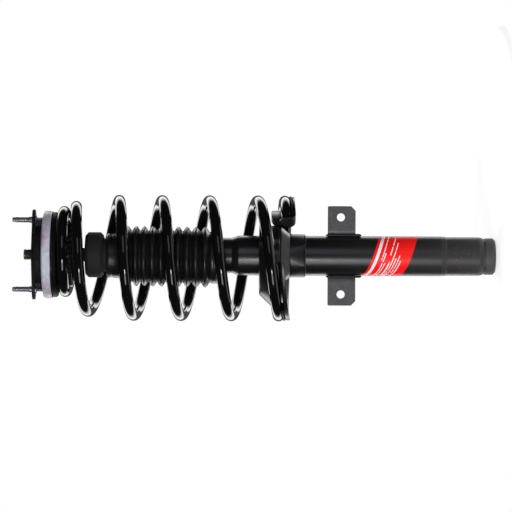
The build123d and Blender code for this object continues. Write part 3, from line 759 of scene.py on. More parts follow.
def wire_line(turn):
    """Points of the wire's centre line: x = shift - r cos(pi turn), y = r sin(pi turn)."""
    grown = smooth(turn, np.arange(len(crest_growth)), crest_growth)
    r = end_coil_r + (coil_r - end_coil_r) * grown
    shift = end_shift + (coil_shift - end_shift) * grown
    return np.stack([shift - r * np.cos(pi * turn), r * np.sin(pi * turn), wire_level(turn)], 1)


# %% [markdown]
# The spring shortens by the whole stroke of the damper. A real spring doesn't do that: its
# closed end turns stay on their seats and its open turns take up the stroke. So each point
# carries its rest height and its own share of the stroke, and a few geometry nodes put it
# there. The round section is laid on after that, so that the wire stays round.

# %% Spring wire
turns = np.linspace((180 - lead_angle) / 180, low_turn + 1 + tail_angle / 180, 620)
line = wire_line(turns)
top_level = line[:, 2].max()
open_from, open_to = 3.0, low_turn - 0.35
wound = np.clip((open_to - turns) / (open_to - open_from), 0, 1)
stroke_share = smooth(wound, (0, 0.07, 0.93, 1), (0, 0.045, 0.955, 1))
taper = np.ones(len(turns))
taper[[0, -1]] = 0.86

wire_mesh = bpy.data.meshes.new("spring_wire")
links = np.stack([np.arange(len(line) - 1), np.arange(1, len(line))], 1)
wire_mesh.from_pydata((line * MM).tolist(), links.tolist(), [])
stored = {"rest_level": line[:, 2] * MM, "stroke_share": stroke_share, "wire_r": taper * wire_r * MM}
for name, values in stored.items():
    wire_mesh.attributes.new(name, "FLOAT", "POINT").data.foreach_set("value", values.astype(np.float32))
wire_mesh.materials.append(spring_gloss)
spring_wire = add("spring_wire", wire_mesh)


def attribute(tree, name):
    """Read a number stored on the points."""
    return put(tree, "GeometryNodeInputNamedAttribute", {"Name": name}).outputs["Attribute"]


def wind(material):
    """Geometry nodes that place the line for the stroke and lay the round section on it.

    So the stroke is (h - z) top / h, and the point belongs at h less its own share of that.
    """
    tree = bpy.data.node_groups.new("wind_spring", "GeometryNodeTree")
    tree.interface.new_socket(name="Geometry", in_out="INPUT", socket_type="NodeSocketGeometry")
    tree.interface.new_socket(name="Geometry", in_out="OUTPUT", socket_type="NodeSocketGeometry")
    entry, leave = tree.nodes.new("NodeGroupInput"), tree.nodes.new("NodeGroupOutput")
    rest = attribute(tree, "rest_level")
    here = put(tree, "GeometryNodeInputPosition").outputs[0]
    split = put(tree, "ShaderNodeSeparateXYZ", {0: here}).outputs
    sunk = maths(tree, "SUBTRACT", rest, split["Z"])
    used = maths(tree, "DIVIDE", maths(tree, "MULTIPLY", sunk, top_level * MM), rest)
    down = maths(tree, "SUBTRACT", sunk, maths(tree, "MULTIPLY", used, attribute(tree, "stroke_share")))
    lift = put(tree, "ShaderNodeCombineXYZ", {2: down}).outputs[0]
    placed = put(tree, "GeometryNodeSetPosition", {"Geometry": entry.outputs[0], "Offset": lift})
    curve = put(tree, "GeometryNodeMeshToCurve", {"Mesh": placed.outputs[0]})
    radius = {"Curve": curve.outputs[0], "Radius": attribute(tree, "wire_r")}
    sized = put(tree, "GeometryNodeSetCurveRadius", radius)
    ring = put(tree, "GeometryNodeCurvePrimitiveCircle", {"Resolution": 32, "Radius": 1.0})
    wound = {"Curve": sized.outputs[0], "Profile Curve": ring.outputs[0]}
    tube = put(tree, "GeometryNodeCurveToMesh", wound)
    tube.inputs["Fill Caps"].default_value = True
    if "Scale" in tube.inputs:
        tree.links.new(attribute(tree, "wire_r"), tube.inputs["Scale"])
    soft = put(tree, "GeometryNodeSetShadeSmooth", {"Geometry": tube.outputs[0]})
    coated = put(tree, "GeometryNodeSetMaterial", {"Geometry": soft.outputs[0], "Material": material})
    tree.links.new(coated.outputs[0], leave.inputs[0])
    return tree


spring_wire.modifiers.new("wind_spring", "NODES").node_group = wind(spring_gloss)
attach(spring_wire, "strut_body")
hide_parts("coil_spring")
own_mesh(spring_wire)
wire_length = np.linalg.norm(np.diff(line, axis=0), axis=1).sum()
print("wire length", round(wire_length), "mm, top", round(top_level, 1))

# %% [markdown]
# ## Damper tube and foot
# The tube is drawn steel. It is a little thinner where the knuckle clamps it, rolled in round
# the base cap, and closed in to a neck on top.

# %% Reservoir tube
clamp_r, tube_r, waist_r, neck_r = 25.0, 25.8, 23.2, 22.9
tube_foot, tube_end = low("reservoir_tube"), high("reservoir_tube")
step_low, step_high = 17.5, 25.0
tube_top = tube_end - 35.0
tube_corners = [
    (waist_r, tube_foot, 0.8), (clamp_r - 0.5, tube_foot + 3.2, 3.0),
    (clamp_r, tube_foot + 6.2, 4.0), (clamp_r, step_low + 0.2, 0.5),
    (clamp_r + 0.3, step_low + 0.6, 0.5), (tube_r, step_high, 6.0), (tube_r, tube_top, 6.0),
    (neck_r, tube_top + 8.0, 6.0), (neck_r, tube_end, 0.8), (neck_r - 2.2, tube_end, 0.5),
    (neck_r - 2.2, tube_top + 8.0, 4.0), (clamp_r - 2.2, tube_top, 4.0),
    (clamp_r - 2.2, tube_foot + 5.5, 1.0), (waist_r - 2.1, tube_foot + 2.5, 0.8),
    (waist_r - 2.1, tube_foot, 0.5),
]
turned("tube_skin", tube_corners, 12.0, "strut_body", tube_paint, "reservoir_tube", arc_steps=7)

# %% Base cap
cap_low, cap_r = low("base_cap"), reach("base_cap")
cap_face = cap_low + 1.1
cap_top = tube_foot - 1.6
lug_half, lug_wide = 7.0, 3.0
cap_outline = rounded(
    [
        (0.0, cap_face, 0.01), (cap_r - 2.9, cap_face, 2.2), (cap_r, cap_face + 2.9, 2.2),
        (cap_r, cap_top, 0.5), (waist_r - 0.2, cap_top + 0.4, 0.6),
        (waist_r - 0.4, tube_foot + 1.0, 0.3), (0.0, tube_foot + 1.0, 0.01),
    ],
    6,
)


def lug(half, wide, bottom, top, points=48):
    """Upright slot-shaped block: its outline is an oblong with round ends, eased at the foot."""
    angle = np.linspace(0, 2 * pi, points, endpoint=False)
    level = np.array([bottom, bottom + 0.25, bottom + 0.7, top])
    inset = np.array([0.7, 0.2, 0.0, 0.0])
    r = wide - inset[:, None]
    x = np.sign(np.cos(angle)) * (half - wide) + r * np.cos(angle)
    y = r * np.sin(angle)
    return shell(np.stack([x, y, np.broadcast_to(level[:, None], x.shape)], 2), ends=True)


build(
    "foot_cap",
    [lathe(dense(cap_outline, 4.0)), lug(lug_half, lug_wide, cap_low, cap_face + 0.5)],
    "strut_body",
    cap_black,
    ["base_cap"],
)

# %% [markdown]
# ## Lower spring seat
# The seat is one pressing. A funnel rises from the collar to a raised crown, the crown's wall
# drops to a plate that winds down under the wire, and the plate's end turns up to stop it.
# The crown is turned, and the plate is a strip carried round the spring's axis.

# %% Collar
collar_low, collar_top = low("seat_collar"), high("seat_collar")
collar_r = reach("seat_collar")
flat_count, flat_depth = 6, 1.9


def pressed_flats(r, z, angle):
    """Round at the top, six-sided at the foot: each flat dips by up to flat_depth."""
    corner = (angle * flat_count / (2 * pi)) % 1.0 - 0.5
    level = np.clip((z - collar_low) / (collar_top - collar_low), 0, 1)
    dip = flat_depth * np.clip(1 - (2 * np.abs(corner)) ** 2 - 0.9 * level, 0, 1)
    near_foot = np.clip(1 - level, 0, 1) ** 0.5
    outer = r > tube_r + 0.5
    return r - np.where(outer, dip * near_foot, 0), z


collar_corners = [
    (tube_r - 0.1, collar_low, 0.3), (collar_r, collar_low, 0.9),
    (collar_r, collar_top, 0.4), (tube_r - 0.1, collar_top, 0.3),
]
turned(
    "collar_sleeve", collar_corners, 1.5, "strut_body", seat_black, "seat_collar",
    wave=pressed_flats, steps=192
)

# %% Pressed crown
sheet = 3.0
funnel_r, crown_r, wall_r = 38.0, 47.0, 62.0
crown_top = collar_top + 40.0
wall_foot = crown_top - 26.0
crown_outline = rounded(
    [
        (tube_r, collar_top, 0.4), (collar_r, collar_top, 1.5),
        (funnel_r, collar_top + 11.5, 6.0), (funnel_r + sheet, crown_top - sheet, 3.0),
        (crown_r - 2.0, crown_top - sheet, 3.0), (wall_r - sheet, crown_top - 17.0, 4.0),
        (wall_r - sheet, wall_foot, 0.8), (wall_r, wall_foot, 0.8),
        (wall_r, crown_top - 16.0, 7.0), (crown_r, crown_top, 6.0),
        (funnel_r - 1.0, crown_top, 6.0), (funnel_r - sheet, collar_top + 13.0, 6.0),
        (tube_r, collar_top + sheet, 1.0),
    ],
    7,
)
crown_outline = dense(crown_outline, 3.0)
round_r = 39.0  # inside this the pressing stays round the tube's own axis
off_axis = coil_shift * np.clip((crown_outline[:, 0] - round_r) / 8.0, 0, 1)


# %% Winding plate
notch_start, notch_end = 46.0, 94.0  # open sector, degrees from +X towards the front
plate_edge = coil_r + 5.6
pad_t = 1.2
stop_h = 17.5
bend_r = 3.5


def plate_level(angle):
    """Upper face of the plate: just over a wire radius and a pad under the wire's centre.

    Before the low crest the plate rises a little less than the wire does.
    """
    level = wire_level(low_turn - 1 + angle / 180)
    crest = crest_levels[low_turn]
    ease = np.clip((180 - angle) / (180 - notch_end), 0, 1)
    return crest + (level - crest) * (1 - 0.25 * ease) - wire_r * 1.02 - pad_t


def strip(angle, section, beyond=None, turned_up=None, axis=coil_shift):
    """Closed strip round the spring's axis, in rows along it.

    section holds (radius, height over the plate): one outline, or one for each row. beyond carries
    the last rows on in a straight line, and turned_up tilts them, in radians.
    """
    beyond = np.zeros(len(angle)) if beyond is None else beyond
    turned_up = np.zeros(len(angle)) if turned_up is None else turned_up
    a = np.radians(angle)[:, None]
    out = np.stack([np.cos(a), -np.sin(a), 0 * a], 2)
    along = np.stack([-np.sin(a), -np.cos(a), 0 * a], 2)
    lift = np.zeros_like(out)
    lift[..., 2] = 1
    tilt = turned_up[:, None, None]
    normal = lift * np.cos(tilt) - along * np.sin(tilt)
    points = out * section[..., :1] + along * beyond[:, None, None] + normal * section[..., 1:]
    points[..., 0] += axis
    return points


flange_steps = 170
angle = np.linspace(notch_end, 360 + notch_start - 1.0, flange_steps)
lip_h = 6.0  # the plate's outer edge is turned down this far on the label's side
lip_end, lip_fade = 215.0, 35.0  # degrees: where the lip ends, and over how much it fades
plate_outline = rounded(
    [
        (wall_r - sheet + 0.6, 0.0, 0.1), (plate_edge, 0.0, 2.6), (plate_edge, -lip_h, 0.9),
        (plate_edge - 2.4, -lip_h, 0.9), (plate_edge - 2.6, -sheet, 1.2),
        (wall_r - sheet + 0.6, -sheet, 0.1),
    ]
)
plate_outline = dense(plate_outline, 1.5)
near_wall = np.clip(wall_r + 4.0 - plate_outline[:, 0], 0, 4.0)
plate_outline[:, 1] += 4.0 - np.sqrt(16.0 - near_wall**2)
bend_steps, rise_steps = 10, 14
bend = np.linspace(0, pi / 2, bend_steps + 1)[1:]
rise = np.linspace(0, stop_h - bend_r, rise_steps + 1)[1:]
level = plate_level(angle)
beyond = np.concatenate([np.zeros(flange_steps), bend_r * np.sin(bend), np.full(rise_steps, bend_r)])
lifted = np.concatenate([level, level[-1] + bend_r * (1 - np.cos(bend)), level[-1] + bend_r + rise])
turned_up = np.concatenate([np.zeros(flange_steps), bend, np.full(rise_steps, pi / 2)])
angle = np.concatenate([angle, np.full(bend_steps + rise_steps, angle[-1])])
section = np.broadcast_to(plate_outline, (len(angle), *plate_outline.shape)).copy()
lip_share = np.clip((lip_end - angle) / lip_fade, 0, 1)[:, None]
hanging = np.minimum(section[..., 1] + sheet, 0)
section[..., 1] += hanging * (lip_share - 1)
middle_r = (wall_r + plate_edge) / 2 + 0.5
tab = np.concatenate([np.zeros(flange_steps), np.linspace(0, 1, bend_steps + rise_steps)])[:, None]
narrow = np.sqrt(np.clip(1 - (np.clip(tab - 0.55, 0, 1) / 0.47) ** 2.2, 0.02, 1))
flat_r = np.clip(section[..., 0], wall_r - 1.5, None)
section[..., 0] = np.where(tab > 0, middle_r + (flat_r - middle_r) * narrow, section[..., 0])
section[..., 1] = np.where(tab > 0, np.clip(section[..., 1], -sheet, 0), section[..., 1])
plate = strip(angle, section, beyond, turned_up)
plate[..., 2] += lifted[:, None]


pinch_half, pinch_fade = 1.45, 0.6  # radians to each side of +X
pinch_depth = 0.86


def pinched(r, z, angle):
    """The crown is drawn in towards the neck on the +X side, where the wire's end lies."""
    side = np.abs((angle + pi) % (2 * pi) - pi)
    share = np.clip((pinch_half - side) / pinch_fade, 0, 1)
    share = pinch_depth * share * share * (3 - 2 * share)
    return np.where(r > round_r, round_r + (r - round_r) * (1 - share), r), z


# A short wall stands on the plate beside the wire's end and keeps the coil central.
wall_top = crown_top - 16.0
tall = 20.0
wall_end, wall_ease, corner_drop = 46.0, 13.0, 9.0  # degrees, degrees, millimetres
wall_outline = rounded(
    [
        (wall_r - sheet, -1.0, 0.3), (wall_r, -1.0, 0.3), (wall_r, tall, 1.45),
        (wall_r - sheet, tall, 1.45),
    ]
)
wall_outline = dense(wall_outline, 2.0)
angle = np.linspace(360 - wall_end, 360 + wall_end - 3.0, 60)
from_end = np.clip(np.minimum(angle - angle[0], angle[-1] - angle) / wall_ease, 0, 1)
drop = corner_drop * (1 - np.sqrt(1 - (1 - from_end) ** 2))
upper = wall_outline[:, 1] > tall / 2
wall = strip(angle, wall_outline)
wall[..., 2] += np.where(upper, (wall_top - tall - drop)[:, None], plate_level(angle)[:, None])
build(
    "spring_pan",
    [lathe(crown_outline, off_axis, wave=pinched), shell(plate, ends=True), shell(wall, ends=True)],
    "strut_body",
    seat_black,
    ["lower_spring_seat"],
)

# %% Rubber strip under the wire
pad_from, pad_to = 146.0, 360 + tail_angle
angle = np.linspace(pad_from, pad_to, 120)
strip_outline = rounded(
    [
        (coil_r - 6.2, 0.1, 0.3), (coil_r + 6.2, 0.1, 0.3), (coil_r + 6.2, 2.6, 0.5),
        (coil_r + 5.0, 2.6, 0.4), (coil_r, pad_t - 0.15, 7.0), (coil_r - 5.0, 2.6, 0.4),
        (coil_r - 6.2, 2.6, 0.5),
    ]
)
rubber = strip(angle, dense(strip_outline, 1.5))
rubber[..., 2] += plate_level(angle)[:, None]
build("pan_rubber", [shell(rubber, ends=True)], "strut_body", pad_black, ["lower_spring_pad"])

# %% [markdown]
# ## Bracket and its welds
# The bracket is a strap bent round the tube with an ear on each side for brake hose and
# cable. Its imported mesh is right, so it stays. The welds are built anew: a bead is a row of
# frozen puddles, each a little over the last.

# %% Weld beads
ear_low, ear_high = low("ear_bracket"), high("ear_bracket")
puddle = 2.1  # from one ripple to the next


def bead(line, width, normals, seed):
    """Weld bead along a line of points: a flat-footed oval whose size steps with each puddle.

    At distance s the radius is width times (0.85 + 0.15 saw(s / puddle) ** 0.6) times a random
    wobble, and it shrinks as an ellipse over the first and the last 3.2 widths.
    """
    rng = np.random.default_rng(seed)
    run = np.concatenate([[0], np.cumsum(np.linalg.norm(np.diff(line, axis=0), axis=1))])
    wobble = np.interp(run, np.linspace(0, run[-1], 14), rng.uniform(0.72, 1.06, 14))
    saw = (run / puddle) % 1.0
    end = np.clip(np.minimum(run, run[-1] - run) / (3.2 * width), 0, 1)
    size = width * (0.85 + 0.15 * saw**0.6) * wobble * np.sqrt(1 - (1 - end) ** 2 + 0.004)
    tangent = np.gradient(line, axis=0)
    tangent /= np.linalg.norm(tangent, axis=1, keepdims=True)
    side = np.cross(tangent, normals)
    t = np.linspace(0, 2 * pi, 20, endpoint=False)
    lag = 0.35 * np.cos(t)[None, :, None] ** 2 * size[:, None, None] * tangent[:, None]
    around = np.cos(t)[None, :, None] * side[:, None] + np.sin(t)[None, :, None] * normals[:, None]
    return shell(line[:, None] + around * size[:, None, None] - lag, ends=True)


seam_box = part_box("bracket_seams")
seam_low, seam_high = low("bracket_seams"), high("bracket_seams")
seam_y = (seam_box[0].y + seam_box[1].y) / 2 / MM
seams = []
for seed, side in enumerate((-1.0, 1.0)):
    z = np.linspace(seam_low, seam_high, 130)
    x = np.full(130, side * (tube_r + 1.1))
    out = np.stack([np.full(130, side * 0.75), np.full(130, -0.66), np.zeros(130)], 1)
    seams.append(bead(np.stack([x, np.full(130, seam_y), z], 1), 2.3, out, seed))
build("ear_seams", seams, "strut_body", weld_black, ["bracket_seams"], 60)



def round_bead(r, level, width, lean, seed, start=0.0, end=360.0, count=420):
    """Bead round the tube from one angle to another. lean is its way out: (outward, up)."""
    a = np.linspace(radians(start), radians(end), count)
    ray = np.stack([np.cos(a), np.sin(a), 0 * a], 1)
    upward = np.array([0, 0, 1.0])
    return bead(ray * r + upward * level, width, ray * lean[0] + upward * lean[1], seed)


strap_ends = ((ear_low, -1), (ear_high, 1))
rings_of_weld = [
    round_bead(tube_r + 0.6, level + tip * 0.6, 1.9, (0.75, tip * 0.66), seed + 7, 20, 160, 200)
    for seed, (level, tip) in enumerate(strap_ends)
]
build("strap_welds", rings_of_weld, "strut_body", weld_black, ["bracket_welds"], 60)
collar_ring = round_bead(tube_r + 0.5, collar_low - 0.4, 1.25, (1, 0), 21)
build("collar_bead", [collar_ring], "strut_body", weld_black, ["seat_weld"], 60)

# %% [markdown]
# ## Label
# The label is a vinyl sticker with round corners, put on at a slant. It carries plain white
# bars where a maker would print words. Its own flat map says where on the sticker a point is,
# so that the print bends with it.

# %% Label sheet
label_w = 49.8
label_arc = 90.0  # degrees to each side of the sheet's middle
label_turn = -9.0  # of its middle from the front, towards +X
slant_per_degree, slant_curve = 0.1585, 0.000545
label_foot = 63.0  # lower edge at the front
corner_r = 5.0
thick = 0.16


def label_sheet(columns=140, rows=60):
    """Patch of a cylinder with round corners, and its flat map.

    Angle f runs over the arc from +X and v runs up the sheet. The lower edge lies at
    foot - slant f + curve f squared. Near its ends the sheet narrows by the corner's circle.
    """
    u, v = np.meshgrid(np.linspace(0, 1, columns), np.linspace(0, 1, rows), indexing="ij")
    u = 0.5 - 0.5 * np.cos(pi * (0.12 + 0.76 * u)) / cos(0.12 * pi)
    f = label_turn + label_arc * (1 - 2 * u)
    long = 2 * label_arc / 180 * pi * tube_r
    from_end = np.clip(np.minimum(u, 1 - u) * long, 0, corner_r)
    cut = corner_r - np.sqrt(corner_r**2 - (corner_r - from_end) ** 2)
    z = label_foot - slant_per_degree * f + slant_curve * f * f + cut + v * (label_w - 2 * cut)
    across = (cut + v * (label_w - 2 * cut)) / label_w
    a = np.radians(f)
    faces = [np.stack([r * np.sin(a), -r * np.cos(a), z], 2) for r in (tube_r + 0.02, tube_r + thick)]
    return faces, u, across


(under, over), label_u, label_v = label_sheet()
columns, rows = label_u.shape
count = columns * rows
face = grid_faces(columns, rows, False, False)
index = np.arange(count).reshape(columns, rows)
border = np.concatenate([index[:, 0], index[-1, 1:], index[-2::-1, -1], index[0, -2:0:-1]])
after = np.roll(border, -1)
sides = np.stack([border, after, after + count, border + count], 1)
quads = np.concatenate([face[:, ::-1], face + count, sides])
points = np.concatenate([under.reshape(-1, 3), over.reshape(-1, 3)])
label_mesh = bpy.data.meshes.new("label_sheet")
if volume(points, quads) < 0:
    quads = quads[:, ::-1]
label_mesh.from_pydata((points * MM).tolist(), [], quads.tolist())
flat = np.stack([label_u.ravel(), label_v.ravel()], 1)
flat = np.concatenate([flat, flat])
loops = np.zeros(len(label_mesh.loops), int)
label_mesh.loops.foreach_get("vertex_index", loops)
label_mesh.uv_layers.new(name="flat").data.foreach_set("uv", flat[loops].astype(np.float32).ravel())
label_mesh.shade_smooth()
label_mesh.set_sharp_from_angle(angle=radians(40))

# Each bar is (middle across, half width, start, end), as shares of the sheet.
bars = (
    (0.885, 0.040, 0.00, 0.97),
    (0.745, 0.013, 0.04, 0.52),
    (0.690, 0.013, 0.40, 0.96),
    (0.625, 0.012, 0.56, 0.97),
    (0.560, 0.013, 0.10, 0.44),
    (0.520, 0.020, 0.54, 0.86),
    (0.455, 0.013, 0.22, 0.92),
    (0.385, 0.012, 0.48, 0.93),
    (0.315, 0.012, 0.44, 0.78),
    (0.245, 0.013, 0.52, 0.90),
)


def print_label():
    """Red gloss vinyl with white bars, each broken into word-like lengths."""
    made, tree, body = start_finish("label_vinyl", Specular_IOR_Level=0.22)
    flat_map = put(tree, "ShaderNodeUVMap", uv_map="flat").outputs[0]
    u, v = put(tree, "ShaderNodeSeparateXYZ", {0: flat_map}).outputs[:2]
    ink = None
    for row, (middle, half, start, end) in enumerate(bars):
        off = maths(tree, "ABSOLUTE", maths(tree, "SUBTRACT", v, middle))
        line_mask = spread(tree, off, half + 0.003, half - 0.003)
        starts, ends = spread(tree, u, start, start + 0.006), spread(tree, u, end, end - 0.006)
        inside = maths(tree, "MULTIPLY", starts, ends)
        where = put(tree, "ShaderNodeCombineXYZ", {0: u, 1: float(row)}).outputs[0]
        words = noise(tree, where, 26.0 if half < 0.03 else 34.0, 1.0, 0.4)
        gaps = spread(tree, words, 0.36, 0.40) if half < 0.03 else spread(tree, words, 0.30, 0.34)
        bar = maths(tree, "MULTIPLY", maths(tree, "MULTIPLY", line_mask, inside), gaps)
        ink = bar if ink is None else maths(tree, "MAXIMUM", ink, bar)
    coat = effect(tree, film, Ripples=260.0, Specks=0.5)
    red = blended(tree, coat["Patch"], (0.76, 0.007, 0.007, 1), (0.86, 0.012, 0.010, 1))
    tone = blended(tree, ink, red, (0.78, 0.74, 0.76, 1))
    tone = blended(tree, maths(tree, "MULTIPLY", coat["Speck"], 0.3), tone, dust_colour)
    gloss = spread(tree, coat["Patch"], 0.3, 0.7, 0.32, 0.42)
    wire_up(tree, body, tone, gloss, coat["Height"], 0.02)
    return made


label_mesh.materials.append(print_label())
label_piece = add("label_sheet", label_mesh)
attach(label_piece, "strut_body")
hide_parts("label")
print("label", count, "points on each face,", len(bars), "bars")

# %% [markdown]
# ## Dust boot and bump stop
# The boot is a blown rubber bellows that keeps grit off the chromed rod. It hangs from the
# bump stop and its cuff grips the neck of the damper. The bump stop is a foam block with a
# waist, so that it gives softly before it goes solid.

# %% Dust boot
cuff_low, boot_top = low("dust_boot"), high("dust_boot")
cuff_r, boot_wall = 34.4, 1.6
groove_depth = 0.7  # of the clip's groove in the cuff
peak_r, valley_r = 39.6, 33.0
boot_folds, first_fold = 10, cuff_low + 15.0
neck_fold = 9.0  # plain length under the top collar
top_r, top_h = 29.0, 12.0
inner_top_r = 21.8
out_of_round = 0.12
rng = np.random.default_rng(5)
fold_sizes = rng.uniform(0.93, 1.07, boot_folds)
last_fold = boot_top - top_h - neck_fold + 1.0
fold_places = np.concatenate([[0], np.cumsum(fold_sizes)]) / fold_sizes.sum()
fold_edges = first_fold + (last_fold - first_fold) * fold_places


def bellows(z):
    """Radius of the folded wall: from valley to peak by (sin of half a turn a fold) ** 1.25."""
    place = np.interp(z, fold_edges, np.arange(boot_folds + 1))
    share = np.abs(np.sin(pi * place)) ** 1.25
    tilt = np.interp(z, fold_edges[[0, -1]], (1.0, 0.94))
    return valley_r + (peak_r - valley_r - 0.25) * share * tilt


z = np.linspace(fold_edges[0], fold_edges[-1], boot_folds * 22 + 1)
wall_line = np.stack([bellows(z), z], 1)
cuff_line = [(cuff_r, cuff_low + 0.9), (cuff_r, cuff_low + 3.0), (cuff_r - groove_depth, cuff_low + 3.6)]
cuff_line += [(cuff_r - groove_depth, cuff_low + 9.0), (cuff_r - 0.2, cuff_low + 10.2)]
cuff_line += [(cuff_r - 0.4, first_fold - 2.0)]
collar_line = [(top_r + 1.2, last_fold + 3.0), (top_r, boot_top - top_h), (top_r, boot_top - 7.5)]
collar_line += [(top_r - 0.8, boot_top - 7.0), (top_r - 0.8, boot_top - 3.6), (top_r, boot_top - 3.0)]
collar_line += [(top_r, boot_top - 0.9), (top_r - 0.9, boot_top)]
outer_line = np.concatenate([cuff_line, wall_line, collar_line])
tangent = np.gradient(outer_line, axis=0)
tangent /= np.linalg.norm(tangent, axis=1, keepdims=True)
inner_line = outer_line + boot_wall * np.stack([-tangent[:, 1], tangent[:, 0]], 1)
inner_line = inner_line[(inner_line[:, 1] > cuff_low + 2.0) & (inner_line[:, 1] < boot_top - 2.0)][::-1]
inner_line = np.minimum(inner_line, outer_line.max(0))
boot_outline = np.concatenate(
    [
        [(neck_r + 0.05, cuff_low), (cuff_r - 0.9, cuff_low)],
        outer_line,
        [(inner_top_r, boot_top), (inner_top_r, boot_top - boot_wall)],
        inner_line,
        [(neck_r + 0.05, cuff_low + 6.0)],
    ]
)


def hand_folded(r, z, angle):
    """Each fold is a little out of round: r swings by out_of_round sin(2 a + its own turn)."""
    fold = np.clip(np.interp(z, fold_edges, np.arange(boot_folds + 1)), 0, boot_folds)
    in_folds = (z > fold_edges[0]) & (z < fold_edges[-1])
    swing = np.where(in_folds, out_of_round * np.sin(2 * angle + 2.4 * fold), 0)
    return r - out_of_round + swing, z


# The boot has slumped off the axis, most at its cuff. Its two bores stay round the axis.
slump = np.interp(boot_outline[:, 1], [cuff_low, fold_edges[0], boot_top], [-3.4, -2.6, -0.9])
slump *= np.clip((boot_outline[:, 0] - 24.0) / 5.0, 0, 1)
bellows_shell = lathe(boot_outline, slump, hand_folded)
boot = build("boot_bellows", [bellows_shell], "strut_body", boot_black, ["dust_boot"], 50)
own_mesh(boot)

# %% Bump stop
stop_low, stop_high = low("bump_stop"), high("bump_stop")
head_r, body_r, rod_r = reach("bump_stop"), 21.5, 10.0
shelf = stop_high - 23.6
foam_corners = [
    (rod_r + 0.2, stop_low, 1.0), (16.5, stop_low, 2.5),
    (body_r - 1.0, stop_low + 5.0, 3.0), (body_r, stop_low + 10.0, 2.0),
    (body_r - 2.5, stop_low + 13.75, 2.5), (body_r, stop_low + 18.0, 2.0),
    (body_r, shelf, 1.0), (head_r - 4.0, shelf, 1.2), (head_r, shelf + 4.0, 1.2),
    (head_r, stop_high - 4.0, 1.2), (head_r - 4.0, stop_high, 1.2),
    (rod_r + 0.2, stop_high, 0.8),
]
turned("bump_foam_block", foam_corners, 2.5, "top_mount", foam_black, "bump_stop", arc_steps=6)

# %% [markdown]
# ## Upper seat and bearing
# On the spring's side of the bearing a pan with a rubber isolator turns with the spring. A
# ribbed rubber neck keeps the small coil central. On the body's side the pale cover shields
# the ball bearing.

# %% Rubber isolator with a ribbed neck
iso_low, iso_high = low("upper_spring_pad"), high("upper_spring_pad")
iso_r = reach("upper_spring_pad")
ring_low = iso_high - 3.6
neck_out = end_coil_r - end_shift - wire_r - 0.3
rib_depth, rib_count = 1.0, 36
pipe_r = neck_out - rib_depth - 3.0
iso_corners = [
    (pipe_r, iso_low, 0.5), (neck_out, iso_low, 1.2), (neck_out, ring_low, 1.4),
    (iso_r - 6.0, ring_low, 0.6), (iso_r - 5.0, ring_low + 0.5, 0.4),
    (iso_r - 0.9, ring_low + 0.5, 0.6), (iso_r - 0.9, ring_low + 1.5, 0.5),
    (iso_r - 1.6, ring_low + 1.8, 0.4), (iso_r, ring_low + 2.2, 0.4),
    (iso_r, iso_high, 0.7), (pipe_r, iso_high, 0.4),
]


def ribbed(r, z, angle):
    """Upright ribs on the neck: between two ribs r dips by the rib's depth."""
    share = np.clip(1.6 * np.cos(rib_count * angle) + 0.5, 0, 1)
    on_neck = (r > neck_out - 2.0) & (r < neck_out + 0.4) & (z < ring_low - 0.8)
    return r - np.where(on_neck, rib_depth * (1 - share), 0), z


turned(
    "isolator", iso_corners, 2.0, "upper_seat", pad_black, "upper_spring_pad",
    wave=ribbed, steps=rib_count * 12
)

# %% Upper pan
pan_low, pan_high = low("upper_spring_seat"), high("upper_spring_seat")
pan_r = reach("upper_spring_seat")
pan_corners = [
    (pipe_r - 1.5, pan_low, 0.4), (pipe_r, pan_low, 0.4), (pipe_r, pan_high - 3.0, 0.8),
    (pan_r, pan_high - 3.0, 1.0), (pan_r, pan_high, 1.0), (pipe_r - 1.5, pan_high, 2.0),
]
turned("bearing_pan", pan_corners, 4.0, "upper_seat", mount_black, "upper_spring_seat")

# %% Bearing cover
cover_low, cover_high = low("bearing_cover"), high("bearing_cover")
cover_r = reach("bearing_cover")
cover_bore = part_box("bearing_upper_race")[1].x / MM - 11.0
cover_corners = [
    (cover_bore, cover_high - 3.0, 0.4), (cover_r - 2.0, cover_high - 3.0, 0.5),
    (cover_r - 2.0, cover_low, 0.5), (cover_r - 0.35, cover_low, 0.6),
    (cover_r - 0.35, cover_low + 1.6, 0.5), (cover_r, cover_low + 2.1, 0.5),
    (cover_r, cover_high - 3.0, 1.2), (cover_r - 1.6, cover_high - 1.5, 1.2),
    (cover_r - 7.5, cover_high, 2.5), (cover_bore, cover_high, 0.4),
]
turned("bearing_ring_cover", cover_corners, 3.0, "top_mount", cover_nylon, "bearing_cover", arc_steps=6)

# %% [markdown]
# ## Top mount
# A steel cup and a plate with two studs hold a block of rubber between them, and the rod's
# end is clamped to a steel core in the rubber. The rubber is moulded with hollows, so that it
# is soft along the strut and stiff across it.

# %% Mount cup
cup_low, cup_high, cup_r = low("mount_cup"), high("mount_cup"), reach("mount_cup")
cup_bore = 24.0
cup_corners = [
    (cup_bore, cup_low, 1.0), (cup_r, cup_low, 2.0), (cup_r, cup_high, 0.9),
    (cup_r - 2.5, cup_high, 0.9), (cup_r - 2.5, cup_low + 2.5, 1.5),
    (cup_bore, cup_low + 2.5, 1.0),
]


def stiffened(r, z, angle):
    """Six shallow flutes are pressed into the cup's wall: r dips by 0.9 mm at each."""
    flute = np.clip(np.cos(6 * (angle + pi / 6)) - 0.55, 0, 1) / 0.45
    return r - np.where(r > cup_r - 4.0, 0.9 * flute, 0), z


turned(
    "mount_shell", cup_corners, 2.5, "top_mount", mount_black, "mount_cup",
    arc_steps=6, wave=stiffened, steps=216
)

